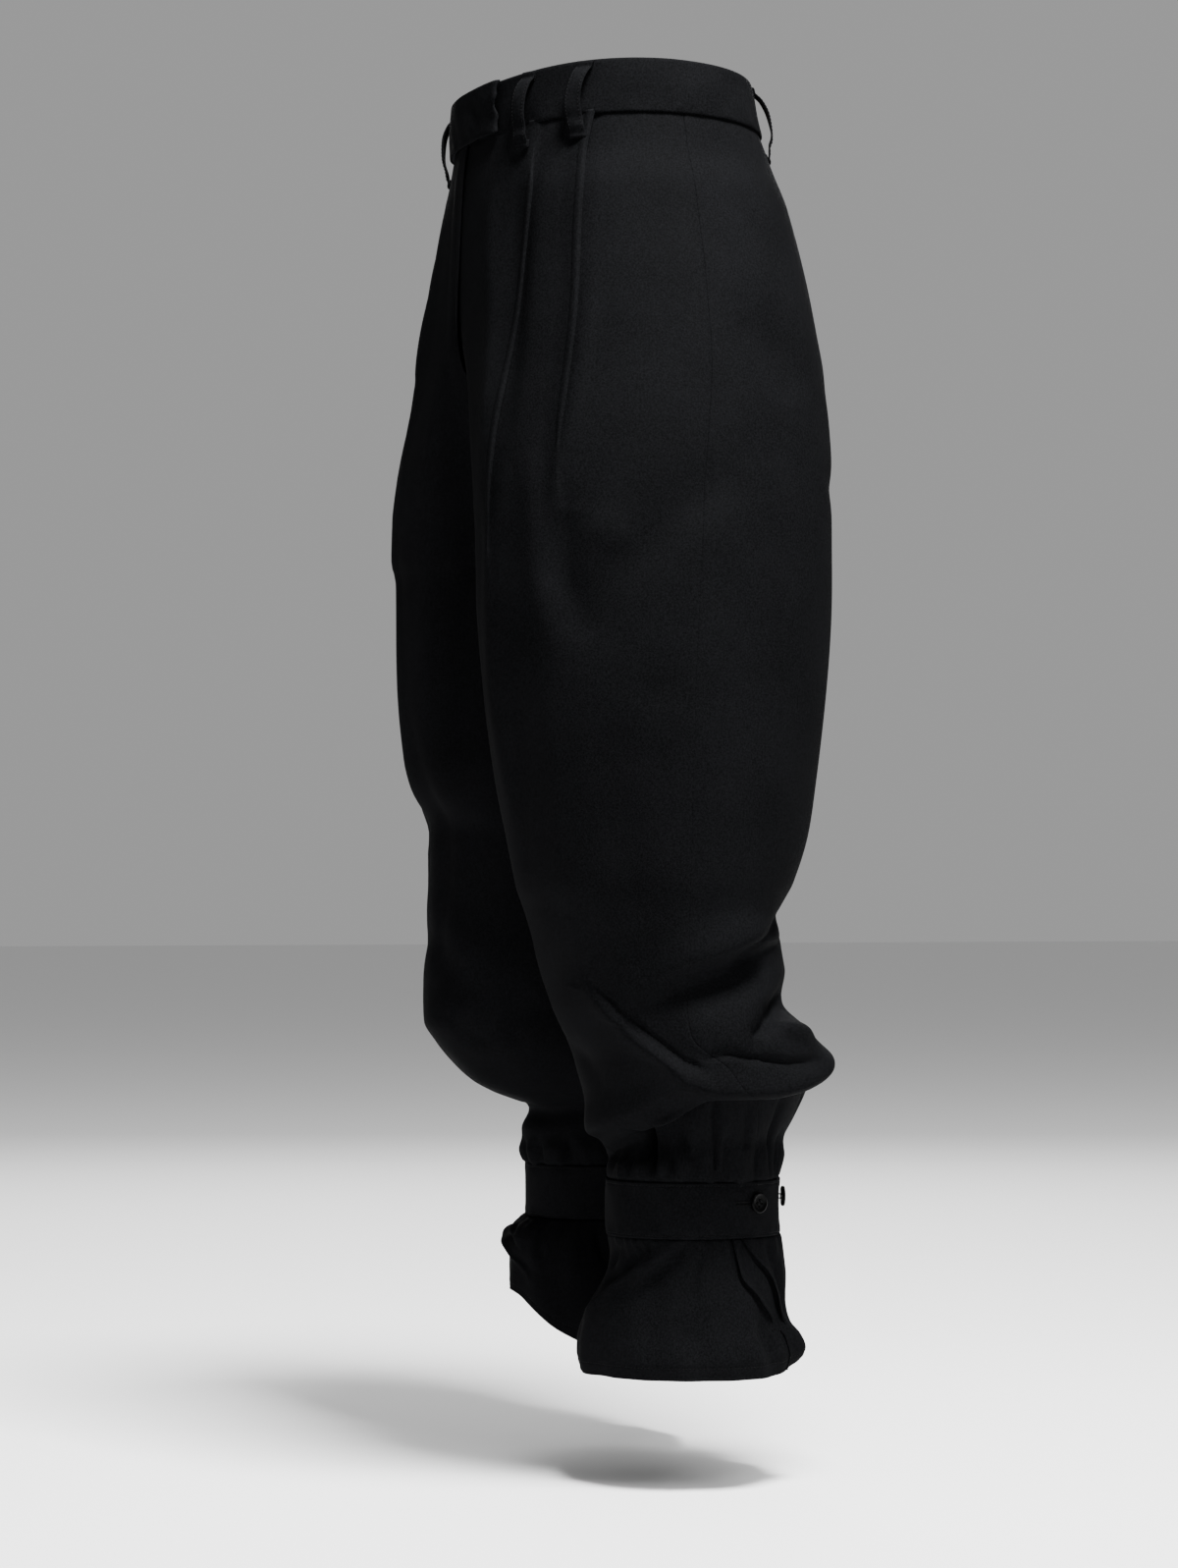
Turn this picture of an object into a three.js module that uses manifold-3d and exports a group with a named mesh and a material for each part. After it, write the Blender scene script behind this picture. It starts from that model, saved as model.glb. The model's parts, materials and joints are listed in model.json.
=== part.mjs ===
// Black pleated balloon trousers, high in the waist, standing in the hollow form that a wearer gives them.
// Each leg is wide from the hip to the calf, slumps into folds above the ankle and is gathered into a buttoned cuff
// band, and a flounce hangs below the band. The front faces -Y, the wearer's left is +X, and the origin is the middle
// of the waist opening at the waist seam. Millimetres, with "down" the distance below the waist seam.
import * as THREE from "three";
import Module from "manifold-3d";

const wasm = await Module();
wasm.setup();

// Driving sizes
const seamGap = 0.3;
const panelCloth = 1.6;
const bandCloth = 2.4;
const waist = { halfWidth: 144, halfDepth: 113, bandHeight: 40 };
const crotchDown = 285;
const cuff = { top: 784, bottom: 826, lap: 51, underlap: 6, layerStep: 1.7 };
const hemDown = 927;
const fly = { length: 188, lap: 8, lift: 2.3, runOut: 24, fade: 40 };
const tab = { underlapEnd: -100, end: 292, layerStep: 1.9, lift: 1.6 };
const loop = { width: 13, cloth: 1.8, standOff: 7.2, foot: 5, drop: 15 };
const button = { radius: 7.8, rim: 1.5, height: 3, wellDepth: 0.9, holeRadius: 1.05, holeSpread: 1.75 };

const colours = { cloth: 0x0d0e10, button: 0x08080a, metal: 0x8d8d90 };

const radians = THREE.MathUtils.degToRad;
const lerp = THREE.MathUtils.lerp;
const clamp = THREE.MathUtils.clamp;
const smooth = (x, low, high) => THREE.MathUtils.smoothstep(x, Math.min(low, high), Math.max(low, high));

function table(columns, rows) {
  const names = columns.split(" ");
  return rows.map((row) => Object.fromEntries(names.map((name, i) => [name, row[i]])));
}

// A smooth curve through one column of a table against its "down" column, with no overshoot.
function curve(rows, column) {
  const x = rows.map((row) => row.down);
  const y = rows.map((row) => row[column]);
  const slope = x.slice(1).map((next, i) => (y[i + 1] - y[i]) / (next - x[i]));
  const tangent = x.map((_, i) => {
    if (i === 0) return slope[0];
    if (i === x.length - 1) return slope[i - 1];
    if (slope[i - 1] * slope[i] <= 0) return 0;
    return (2 * slope[i - 1] * slope[i]) / (slope[i - 1] + slope[i]);
  });
  return (down) => {
    if (down <= x[0]) return y[0];
    if (down >= x[x.length - 1]) return y[y.length - 1];
    const i = x.findIndex((_, k) => down < x[k + 1]);
    const span = x[i + 1] - x[i];
    const s = (down - x[i]) / span;
    const rise = s * s * (3 - 2 * s);
    return (
      y[i] + (y[i + 1] - y[i]) * rise +
      tangent[i] * span * s * (1 - s) * (1 - s) -
      tangent[i + 1] * span * s * s * (1 - s)
    );
  };
}

function curves(rows) {
  const names = Object.keys(rows[0]).filter((name) => name !== "down");
  return Object.fromEntries(names.map((name) => [name, curve(rows, name)]));
}

// Sections of one half: the centre of the leg tube, and how far it reaches inward, outward, forward and back.
// Above the crotch the tube is cut at the middle plane, where the two halves are sewn together.
const sectionColumns = "down cx cy inn out front back";
const hipSections = [
  [0, 0, 0, 144, 144, 113, 113],
  [25, 4, 0, 150, 147, 116, 122],
  [55, 12, 0, 155, 152, 118, 132],
  [110, 28, 0, 155, 152, 121, 142],
  [150, 44, 0, 137, 146, 123, 145],
  [187, 60, 0, 111, 138, 126, 147],
  [220, 76, 0, 105, 128, 130, 144],
  [255, 87, 0, 97.3, 122, 133, 142],
  [crotchDown, 93, 0, 92.85, 119, 134, 139.5],
  [310, 96, 0, 93.5, 118, 134, 138],
];
const ankleSections = [
  [758, 92, 36, 58, 64, 69, 68],
  [cuff.top, 92, 36, 57, 58, 66, 66],
];

const legs = {
  left: {
    sign: 1,
    sections: table(sectionColumns, [
      ...hipSections,
      [347, 97, 0, 92, 118, 134, 137],
      [420, 98, 0, 90, 116, 129, 132],
      [492, 98, 2, 88, 112, 121, 121],
      [528, 97.5, 4, 86, 108, 115, 114],
      [564, 97, 6, 84, 104, 108.6, 100],
      [588, 96.5, 10, 82, 99, 104.4, 82],
      [606, 96, 15, 81, 97, 103.6, 89],
      [626, 95.5, 20, 80, 96, 102.6, 84],
      [653, 95, 27, 80, 98, 101.6, 70],
      [674, 94, 33, 79, 101, 98.3, 88],
      [696, 93.5, 38, 78, 103, 92.6, 99],
      [714, 93, 38, 72, 96, 88, 88],
      [740, 92.5, 37, 62, 76, 79.7, 75],
      ...ankleSections,
    ]),
    sideSeam: table("down angle", [
      [0, 4], [170, 3.5], [262, 0], [354, -3], [495, -6], [565, -8], [636, -16], [676, -22],
      [700, -8], [714, 7], [740, 18], [757, 22], [cuff.top, 22],
    ]),
    hemRise: 0,
  },
  right: {
    sign: -1,
    sections: table(sectionColumns, [
      ...hipSections,
      [330, 97, 0, 92.5, 118, 131, 138],
      [408, 98, 0, 90, 116, 131.5, 133],
      [467, 98, 0, 89, 114, 127, 126],
      [486, 98, 1, 88, 112, 124, 123],
      [505, 97.5, 2, 87, 110, 118, 118],
      [525, 97, 3, 86, 108, 112.5, 113],
      [564, 97, 5, 84, 104, 114, 100],
      [600, 96.5, 9, 83, 102, 120, 90],
      [642, 96, 14, 82, 101, 127, 86],
      [673, 95, 20, 81, 102, 134, 92],
      [688, 94.5, 24, 80, 101, 127.5, 94],
      [704, 94, 28, 76, 97, 118, 91],
      [719, 93.5, 31, 70, 89, 106, 85],
      [727, 93, 33, 66, 82, 93, 80],
      [735, 92.5, 34, 62, 74, 74, 76],
      [743, 92, 35, 60, 68, 64, 72],
      ...ankleSections,
    ]),
    sideSeam: table("down angle", [
      [0, 4], [170, 3.5], [262, 0], [354, -3], [495, -4], [600, -2], [680, 4], [740, 14], [cuff.top, 22],
    ]),
    hemRise: 44,
  },
};

// Soft folds: a line down the cloth through places given as leg angle and down, with a signed height (a valley is
// below zero), and how wide it is above and below the line. Angles run from -90 in front, through 0 at the outer
// side, to 90 behind.
const foldColumns = "places height above below";
const dartFolds = [
  [[[-52, 290], [-50, 330], [-39, 400]], -4, 26, 18],
  [[[8, 340], [-12, 385], [-30, 420]], -4, 40, 30],
  [[[-76, 290], [-84, 420], [-82, 520]], 4, 16, 16],
  [[[-60, 440], [-66, 540]], -3, 24, 24],
];
legs.left.folds = table(foldColumns, [
  ...dartFolds,
  [[[62, 590], [34, 603], [14, 620]], -5, 10, 8],
  [[[67, 612], [13, 624], [-22, 643], [-37, 652]], -7, 18, 14],
  [[[52, 653], [19, 666], [4, 690]], -7, 12, 9],
  [[[-57, 640], [-41, 664], [-28, 683], [-10, 690], [25, 695]], -9, 16, 7],
  [[[-60, 645], [-45, 672], [-30, 696], [-8, 706], [40, 705], [75, 700]], 8, 11, 17],
  [[[-120, 700], [-100, 708], [-80, 716]], 6, 20, 16],
  [[[-60, 748], [-28, 733], [-6, 724], [30, 724], [80, 722]], -5, 12, 14],
  [[[110, 640], [140, 660], [170, 672]], -6, 14, 12],
  [[[100, 690], [140, 700], [178, 706]], 6, 14, 14],
  [[[-170, 660], [-140, 672], [-115, 678]], -5, 16, 14],
]);
legs.right.folds = table(foldColumns, [
  ...dartFolds,
  [[[-56, 62], [-62, 112], [-74, 178]], 7, 26, 26],
  [[[70, 560], [30, 580], [-10, 600]], -5, 16, 14],
  [[[85, 610], [40, 622], [0, 640], [-40, 640]], -6, 18, 14],
  [[[95, 665], [50, 655], [10, 668], [-30, 690]], -6, 14, 12],
  [[[90, 690], [45, 690], [10, 696], [-30, 708], [-60, 712]], 7, 14, 14],
  [[[-40, 600], [-75, 632], [-110, 640]], -4, 22, 20],
  [[[-60, 520], [-95, 512], [-130, 522]], -3, 16, 18],
  [[[110, 640], [140, 655], [172, 668]], -6, 14, 12],
  [[[100, 700], [140, 706], [176, 708]], 6, 14, 14],
]);

// The two knife pleats of each front. The fold edge faces the side seam: its leg angle against down, where the pleat
// opens out, how far the edge stands off the layer below, and over how many degrees the cloth climbs to it.
const pleats = [
  { fold: table("down angle", [[0, -49], [45, -52], [134, -61], [crotchDown, -74]]), end: 292, height: 2.8, climb: 12 },
  { fold: table("down angle", [[0, -29], [49, -34], [139, -39], [crotchDown, -46]]), end: 288, height: 2.8, climb: 12 },
];

// Gathers into the cuff band: the leg angle of each tuck, how deep it is and how far up the leg it reaches.
const gathers = table("angle depth reach", [
  [-160, 4, 34], [-136, 5, 30], [-110, 5, 26], [-88, 4.5, 24], [-67, 5, 26], [-48, 5, 24], [-33, 5, 36],
  [-18, 4.5, 42], [1, 5, 60], [24, 4, 44], [46, 4.5, 46], [68, 5, 40], [90, 4.5, 34], [114, 5, 32], [138, 4.5, 36],
  [164, 4, 34],
]);

for (const pleat of pleats) pleat.angle = curve(pleat.fold, "angle");
for (const leg of Object.values(legs)) {
  leg.reach = curves(leg.sections);
  leg.seam = curve(leg.sideSeam, "angle");
}

// The signed height of one fold at a leg angle and down.
function foldHeight(fold, angle, down, radius) {
  let best = { distance: Infinity };
  const places = fold.places.map(([a, d]) => new THREE.Vector2(radians(a) * radius, d));
  const here = new THREE.Vector2(radians(angle) * radius, down);
  for (let i = 0; i + 1 < places.length; i += 1) {
    const along = places[i + 1].clone().sub(places[i]);
    const share = clamp(here.clone().sub(places[i]).dot(along) / along.lengthSq(), 0, 1);
    const offset = here.clone().sub(places[i].clone().addScaledVector(along, share));
    if (offset.length() < best.distance) {
      best = { distance: offset.length(), below: offset.y > 0, run: (i + share) / (places.length - 1) };
    }
  }
  const spread = best.distance / (best.below ? fold.below : fold.above);
  const taper = Math.sqrt(Math.sin(Math.PI * clamp(best.run, 0.02, 0.98)));
  return fold.height * Math.exp(-1.4 * spread * spread) * taper;
}

// Puffs of cloth between neighbouring gathers, fading out up the leg.
function gatherHeight(angle, down) {
  const wrapped = ((((angle - gathers[0].angle) % 360) + 360) % 360) + gathers[0].angle;
  const i = gathers.findLastIndex((gather) => gather.angle <= wrapped);
  const a = gathers[i];
  const b = gathers[(i + 1) % gathers.length];
  const span = (b.angle - a.angle + 360) % 360;
  const share = (wrapped - a.angle) / span;
  const reach = lerp(a.reach, b.reach, share);
  const rise = clamp((cuff.top - down) / reach, 0, 1);
  const swell = Math.sin(Math.PI * Math.min(1, 0.1 + rise)) * (1 - smooth(rise, 0.4, 1));
  return lerp(a.depth, b.depth, share) * (Math.abs(Math.sin(Math.PI * share)) ** 0.7 - 0.45) * swell * 1.5;
}

// The waist seam dips at the front and rises a little behind.
const seamLift = (angle) => {
  const front = Math.max(0, -Math.sin(radians(angle)));
  const back = Math.max(0, Math.sin(radians(angle)));
  return -7 * front ** 3 + 3 * back ** 2;
};

// A point of one half's cloth at a leg angle and down, in that half's own space with x outward from the middle.
function legPoint(leg, angle, down) {
  const r = leg.reach;
  const turn = radians(angle);
  const c = Math.cos(turn);
  const s = Math.sin(turn);
  const acrossReach = c > 0 ? r.out(down) : r.inn(down);
  const depthReach = s > 0 ? r.back(down) : r.front(down);
  const radius = 0.5 * (r.out(down) + depthReach);
  let height = gatherHeight(angle, down);
  for (const fold of leg.folds) height += foldHeight(fold, angle, down, radius);
  const normal = new THREE.Vector2(c / acrossReach, s / depthReach).normalize();
  const lift = seamLift(angle) * (1 - smooth(down, 0, 70));
  return new THREE.Vector3(
    r.cx(down) + acrossReach * c + normal.x * height,
    r.cy(down) + depthReach * s + normal.y * height,
    -down + lift,
  );
}

// How far the tube is open at the middle plane, as an angle either side of the inner leg. It is 0 below the crotch.
function openAngle(leg, down) {
  const share = (leg.reach.cx(down) - seamGap / 2) / leg.reach.inn(down);
  return down >= crotchDown ? 0 : THREE.MathUtils.radToDeg(Math.acos(clamp(share, -1, 1)));
}

// The leg angles of a panel's two edges, with half a seam's gap taken off.
function panelEdges(leg, panel, down) {
  const open = openAngle(leg, down);
  const slit = THREE.MathUtils.radToDeg((0.55 * seamGap) / Math.min(leg.reach.front(down), leg.reach.back(down)));
  const inner = open > 0 ? 180 - open : 180 - slit;
  const side = leg.seam(down);
  return panel === "front" ? [-inner, side - slit] : [side + slit, inner];
}

// The raised edge of a folded pleat or tuck: the cloth climbs to the fold, and drops to the layer below.
const pleatFade = 90;
const tuckFade = 28;
function foldStep(folded, angle, down, fade) {
  let step = 0;
  for (const pleat of folded) {
    const before = pleat.angle(down) - angle;
    if (before < -0.01 || before > pleat.climb) continue;
    step += pleat.height * (1 - before / pleat.climb) * (1 - smooth(down, pleat.end - fade, pleat.end));
  }
  return step;
}

const pleatStep = (angle, down) => foldStep(pleats, angle, down, pleatFade);

// The lift that carries the right front over the left one along the fly.
function flyLift(x, down) {
  const fadeStart = fly.length + fly.runOut;
  return fly.lift * (1 - smooth(x, 6, 22)) * (1 - smooth(down, fadeStart, fadeStart + fly.fade));
}

// The outward direction of the cloth, the same for both panels where they meet.
function legNormal(leg, angle, down) {
  const turn = 1;
  const reach = 1.5;
  const across = legPoint(leg, angle + turn, down).sub(legPoint(leg, angle - turn, down));
  const fall = legPoint(leg, angle, down + reach).sub(legPoint(leg, angle, down - reach));
  return fall.cross(across).normalize();
}

// Rows of paired outer and inner points become one closed wall. Rows of one zone join column to column, and rows of
// two zones, which may have different counts, join by their places across the cloth.
function clothWall(rows, mirrored = false) {
  const points = rows.flat();
  const starts = rows.map((_, i) => rows.slice(0, i).reduce((sum, row) => sum + row.length, 0));
  const faces = [];
  for (let r = 0; r + 1 < rows.length; r += 1) {
    const upper = rows[r];
    const lower = rows[r + 1];
    const place = upper.zone === lower.zone ? "column" : "share";
    let i = 0;
    let j = 0;
    while (i < upper.length - 1 || j < lower.length - 1) {
      const a = starts[r] + i;
      const b = starts[r + 1] + j;
      const nextUpper = i < upper.length - 1 ? upper[i + 1][place] : Infinity;
      const nextLower = j < lower.length - 1 ? lower[j + 1][place] : Infinity;
      if (nextUpper <= nextLower) {
        faces.push([a, b, a + 1]);
        i += 1;
      } else {
        faces.push([a, b, b + 1]);
        j += 1;
      }
    }
  }
  const count = points.length;
  const edges = new Set(faces.flatMap(([a, b, c]) => [`${a} ${b}`, `${b} ${c}`, `${c} ${a}`]));
  const index = [];
  for (const [a, b, c] of faces) {
    index.push(a, b, c, count + a, count + c, count + b);
    for (const [p, q] of [[a, b], [b, c], [c, a]]) {
      if (edges.has(`${q} ${p}`)) continue;
      if (q > p) index.push(q, p, count + p, q, count + p, count + q);
      else index.push(q, p, count + q, p, count + p, count + q);
    }
  }
  if (mirrored) index.reverse();
  const all = [...points.map((p) => p.outer), ...points.map((p) => p.inner)];
  const geometry = new THREE.BufferGeometry().setFromPoints(all);
  geometry.setIndex(index);
  return geometry;
}

// A solid of two layers, each moved from the middle surface along its normal.
const layer = (share, middle, normal, outward, inward) => ({
  share,
  column: share,
  outer: middle.clone().addScaledVector(normal, outward),
  inner: middle.clone().addScaledVector(normal, -inward),
});

const steps = (count, low = 0, high = 1) => Array.from({ length: count + 1 }, (_, i) => lerp(low, high, i / count));

// Rows of each panel: the downs of a zone, and the columns across it. A column is counted in stretches of the row,
// which on a front's hip run from the centre seam to each pleat's fold edge and on to the side seam.
const zones = {
  hip: [0.15, 25, 55, 85, 115, 150, 187, 210, 232, 250, 264, 275, 282, 285],
  thigh: [300, 330, 370, 420, 470, 510, 545],
  slump: [568, 580, 588, 597, 608, 620, 631, 642, 653, 664, 675, 686, 696, 706, 716],
  gathers: [728, 739, 750, 761, 772, cuff.top - 0.15],
};
const pleatDrop = 0.03;
const panelColumns = {
  front: {
    hip: [0, 0.2, 0.4, 0.6, 0.8, 1, 1 + pleatDrop, 1.3, 1.65, 2, 2 + pleatDrop, 2.2, 2.4, 2.6, 2.8, 3],
    thigh: steps(13),
    slump: steps(16),
    gathers: steps(26),
  },
  back: { hip: steps(10), thigh: steps(11), slump: steps(15), gathers: steps(26) },
};

function columnAngles(leg, panel, zone, down) {
  const [start, end] = panelEdges(leg, panel, down);
  const pleated = panel === "front" && zone === "hip";
  const stretches = pleated ? [start, ...pleats.map((pleat) => pleat.angle(down)), end] : [start, end];
  return panelColumns[panel][zone].map((column) => {
    const i = Math.min(Math.floor(column), stretches.length - 2);
    return lerp(stretches[i], stretches[i + 1], column - i);
  });
}

function mirror(rows, sign) {
  for (const point of rows.flat()) {
    point.outer.x *= sign;
    point.inner.x *= sign;
  }
  return rows;
}

function panelGeometry(side, panel) {
  const leg = legs[side];
  const laps = side === "right" && panel === "front";
  const rows = Object.entries(zones).flatMap(([zone, downs]) =>
    downs.map((down) => {
      const angles = columnAngles(leg, panel, zone, down);
      const row = angles.map((angle, i) => {
        const share = (angle - angles[0]) / (angles.at(-1) - angles[0]);
        const middle = legPoint(leg, angle, down);
        const normal = legNormal(leg, angle, down);
        if (laps) middle.addScaledVector(normal, flyLift(middle.x, down));
        const point = layer(share, middle, normal, panel === "front" ? pleatStep(angle, down) : 0, panelCloth);
        point.outer.x = Math.max(point.outer.x, seamGap / 2);
        point.inner.x = Math.max(point.inner.x, seamGap / 2);
        point.column = panelColumns[panel][zone][i];
        return point;
      });
      row.zone = zone;
      if (laps && down < fly.length) row.unshift(lapPoint(leg, down));
      return row;
    }),
  );
  return clothWall(mirror(rows, leg.sign), leg.sign < 0);
}

// The angle on the front where the cloth is a given way out from the middle plane.
function frontAngle(leg, x, down) {
  const share = (leg.reach.cx(down) - x) / leg.reach.inn(down);
  return -180 + THREE.MathUtils.radToDeg(Math.acos(clamp(share, -1, 1)));
}

// The free edge of the right front, past the middle plane and clear of the left front.
function lapPoint(leg, down) {
  const angle = frontAngle(leg, fly.lap, down);
  const normal = legNormal(leg, angle, down).multiply(new THREE.Vector3(-1, 1, 1));
  const middle = legPoint(leg, angle, down);
  middle.x *= -1;
  middle.addScaledVector(normal, fly.lift);
  return layer(-0.05, middle, normal, 0, panelCloth);
}

// The strip behind the fly opening.
function flyShieldGeometry() {
  const leg = legs.left;
  const xs = [-20, -13, -6, 0, 6, 12, 18];
  const rows = [4, 25, 55, 85, 115, 150, 187].map((down) =>
    xs.map((x) => {
      const angle = frontAngle(leg, Math.abs(x), down);
      const middle = legPoint(leg, angle, down);
      const normal = legNormal(leg, angle, down).multiply(new THREE.Vector3(Math.sign(x), 1, 1));
      if (x < 0) middle.x *= -1;
      const sunk = panelCloth + 0.8 + 2 * smooth(down, 115, 187);
      return layer(x, middle, normal, -sunk, sunk + panelCloth);
    }),
  );
  return clothWall(rows);
}

// The waistband is one strip that starts under the front tab, runs round the back and ends as the tab.
function bandOffset(angle) {
  const under = -tab.layerStep * (1 - smooth(angle, -66, -36));
  const over = tab.layerStep * smooth(angle, 212, 250);
  const raised = tab.lift * smooth(angle, tab.end - 20, tab.end);
  return under + over + raised;
}

function bandPoint(angle, height, offset = 0) {
  const turn = radians(angle);
  const back = Math.max(0, Math.sin(turn));
  const side = Math.abs(Math.cos(turn));
  const lean = (8 * back + 3 * side) * (height / waist.bandHeight) ** 1.2;
  const reach = offset + 0.8 - (height > 0 ? lean : 0);
  return new THREE.Vector3(
    (waist.halfWidth + reach) * Math.cos(turn),
    (waist.halfDepth + reach) * Math.sin(turn),
    height + seamLift(angle),
  );
}

const bandNormal = (angle) =>
  new THREE.Vector3(Math.cos(radians(angle)) / waist.halfWidth, Math.sin(radians(angle)) / waist.halfDepth, 0).normalize();

function waistbandGeometry() {
  const shares = steps(62);
  const heights = [waist.bandHeight, 27, 13, 0.25];
  const rows = heights.map((height) =>
    shares.map((share) => {
      const angle = lerp(tab.underlapEnd, tab.end, share);
      return layer(share, bandPoint(angle, height, bandOffset(angle)), bandNormal(angle), bandCloth / 2, bandCloth / 2);
    }),
  );
  return clothWall(rows);
}

// Belt loops: a strap sewn flat near the band's top edge, arched clear of the band, and sewn flat below the seam.
const loopPlaces = table("name angle", [
  ["belt_loop_front_left_inner", -55],
  ["belt_loop_front_left_outer", -34],
  ["belt_loop_back_left", 65],
  ["belt_loop_front_right_inner", 235],
  ["belt_loop_front_right_outer", 214],
  ["belt_loop_back_right", 115],
]);

// How far the trousers' cloth lies out from the waist ellipse beneath a loop, at a distance below the seam.
function clothReach(angle, down) {
  const normal = bandNormal(angle);
  const leftward = Math.cos(radians(angle)) >= 0;
  const folded = leftward ? angle : 180 - angle;
  const reaches = [-4, -2, 0, 2, 4].map((shift) => {
    const point = legPoint(legs.left, folded + shift, down);
    if (!leftward) point.x *= -1;
    return point.sub(bandPoint(angle, 0)).dot(normal) + pleatStep(folded + shift, down);
  });
  return Math.max(...reaches);
}

function loopGeometry(angle) {
  const normal = bandNormal(angle);
  const across = new THREE.Vector3(-normal.y, normal.x, 0);
  const offset = bandOffset(angle) + bandCloth / 2;
  const clear = seamGap + loop.cloth / 2;
  const top = waist.bandHeight - 1;
  const path = new THREE.CatmullRomCurve3(
    [
      [clear + 0.1, top], [clear + 0.3, top - loop.foot], [loop.standOff * 0.75, top - 9], [loop.standOff + 1.2, top - 18],
      [loop.standOff + 1.6, 9], [loop.standOff + 0.6, 1], [loop.standOff * 0.6, 6 - loop.drop],
      [clear + 0.5, 1 - loop.drop], [clear + 0.3, -2.5 - loop.drop],
    ].map(([out, height]) => new THREE.Vector3(out, height, 0)),
  );
  const rows = steps(14).map((s) => {
    const p = path.getPointAt(s);
    const t = path.getTangentAt(s);
    const lean = bandPoint(angle, Math.max(0, p.y)).sub(bandPoint(angle, 0)).dot(normal);
    const beneath = p.y > 0 ? offset : lerp(offset, clothReach(angle, -p.y), smooth(-p.y, 0, 9));
    const centre = bandPoint(angle, 0).addScaledVector(normal, beneath + lean + p.x);
    centre.z = p.y + seamLift(angle);
    const facing = normal.clone().multiplyScalar(-t.y).add(new THREE.Vector3(0, 0, t.x));
    return [-1, 1].map((edge) =>
      layer(edge, centre.clone().addScaledVector(across, (edge * loop.width) / 2), facing, loop.cloth / 2, loop.cloth / 2),
    );
  });
  return clothWall(rows);
}

// The cuff band runs from its hidden underlap round the ankle to the free end that buttons over it.
function cuffPoint(angle, down, offset) {
  const turn = radians(angle);
  return new THREE.Vector3(92 + (57.5 + offset) * Math.cos(turn), 36 + (66 + offset) * Math.sin(turn), -down);
}

const cuffNormal = (angle) => new THREE.Vector3(Math.cos(radians(angle)) / 57.5, Math.sin(radians(angle)) / 66, 0).normalize();

const cuffOffset = (angle) =>
  -cuff.layerStep * (1 - smooth(angle, cuff.lap + 4, cuff.lap + 44)) + cuff.layerStep * smooth(angle, 320, 362);

function cuffGeometry(sign) {
  const rows = [cuff.top + 0.15, (cuff.top + cuff.bottom) / 2, cuff.bottom - 0.15].map((down) =>
    steps(42).map((share) => {
      const angle = lerp(cuff.underlap, 360 + cuff.lap, share);
      return layer(share, cuffPoint(angle, down, cuffOffset(angle)), cuffNormal(angle), bandCloth / 2, bandCloth / 2);
    }),
  );
  return clothWall(mirror(rows, sign), sign < 0);
}

// The flounce below the band: its own sections, ridges that grow towards the hem, two folded tucks that open out before
// the hem, and a slit under the free end of the band, with an underlap behind it.
const flounceColumns = "down half front back";
legs.left.flounce = curves(table(flounceColumns, [
  [cuff.bottom, 57.5, 64, 66], [840, 62, 61.5, 67.5], [855, 66.5, 64, 68.5], [868, 70, 70, 67.5], [880, 72.5, 77, 66],
  [892, 75, 82, 67], [905, 78, 85.5, 73], [916, 79.5, 86, 76], [hemDown, 78, 83, 72],
]));
legs.right.flounce = curves(table(flounceColumns, [
  [cuff.bottom, 57.5, 66, 66], [840, 62, 78.5, 67], [852, 66, 82, 68.5], [867, 70, 81, 68], [884, 74, 78, 68],
  [905, 78, 78, 73], [916, 79.5, 78, 76], [hemDown, 79, 77, 72],
]));
const flounceRidges = table("angle height width", [
  [-150, 5, 15], [-118, 4, 13], [-92, 5, 15], [-58, 3.5, 13], [-31, 3.5, 11], [12, 3.5, 13], [62, 6, 14],
  [96, 4.5, 13], [128, 5, 15], [160, 4.5, 13],
]);
const flounceDowns = [cuff.bottom + 0.15, 840, 855, 870, 888, 907, hemDown];
// The hem turns up at the outer back corner, and on the right leg in front as well.
const hemCorner = { angle: 72, width: 24, rise: 12 };
const hemFront = { angle: -85, inner: 45, outer: 75 };
const slit = { underlapStart: 24, layerStep: 1.3, edge: curve(table("down angle", [[cuff.bottom, 51], [hemDown, 60]]), "angle") };
const tucks = [
  { fold: [[cuff.bottom, 366], [853, 368], [870, 380], [888, 392], [hemDown, 398]], end: 898, height: 2.4, climb: 10 },
  { fold: [[cuff.bottom, 373], [838, 378], [860, 395], [880, 403], [hemDown, 408]], end: 902, height: 2.4, climb: 10 },
];
for (const tuck of tucks) tuck.angle = curve(table("down angle", tuck.fold), "angle");

function flouncePoint(leg, angle, down) {
  const turn = radians(angle);
  const f = leg.flounce;
  const fall = (down - cuff.bottom) / (hemDown - cuff.bottom);
  const depth = Math.sin(turn) > 0 ? f.back(down) : f.front(down);
  const wrapped = ((((angle + 180) % 360) + 360) % 360) - 180;
  let height = -2.5;
  for (const ridge of flounceRidges) height += ridge.height * Math.exp(-(((wrapped - ridge.angle) / ridge.width) ** 2));
  const swell = height * smooth(fall, 0, 0.8);
  const corner = Math.exp(-(((wrapped - hemCorner.angle) / hemCorner.width) ** 2));
  const beside = wrapped - hemFront.angle;
  const front = Math.exp(-((beside / (beside < 0 ? hemFront.inner : hemFront.outer)) ** 2));
  const rise = leg.hemRise * front * fall + hemCorner.rise * corner * fall ** 3;
  return new THREE.Vector3(
    92 + (f.half(down) + swell) * Math.cos(turn),
    36 + (depth + swell) * Math.sin(turn),
    -down + rise,
  );
}

// Columns of the strip, counted in stretches: underlap and round to the first tuck, on to the second, on to the slit.
const flounceStrip = [...steps(37), 1 + pleatDrop, 1.5, 2, 2 + pleatDrop, 2.25, 2.5, 2.75, 3];

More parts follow.
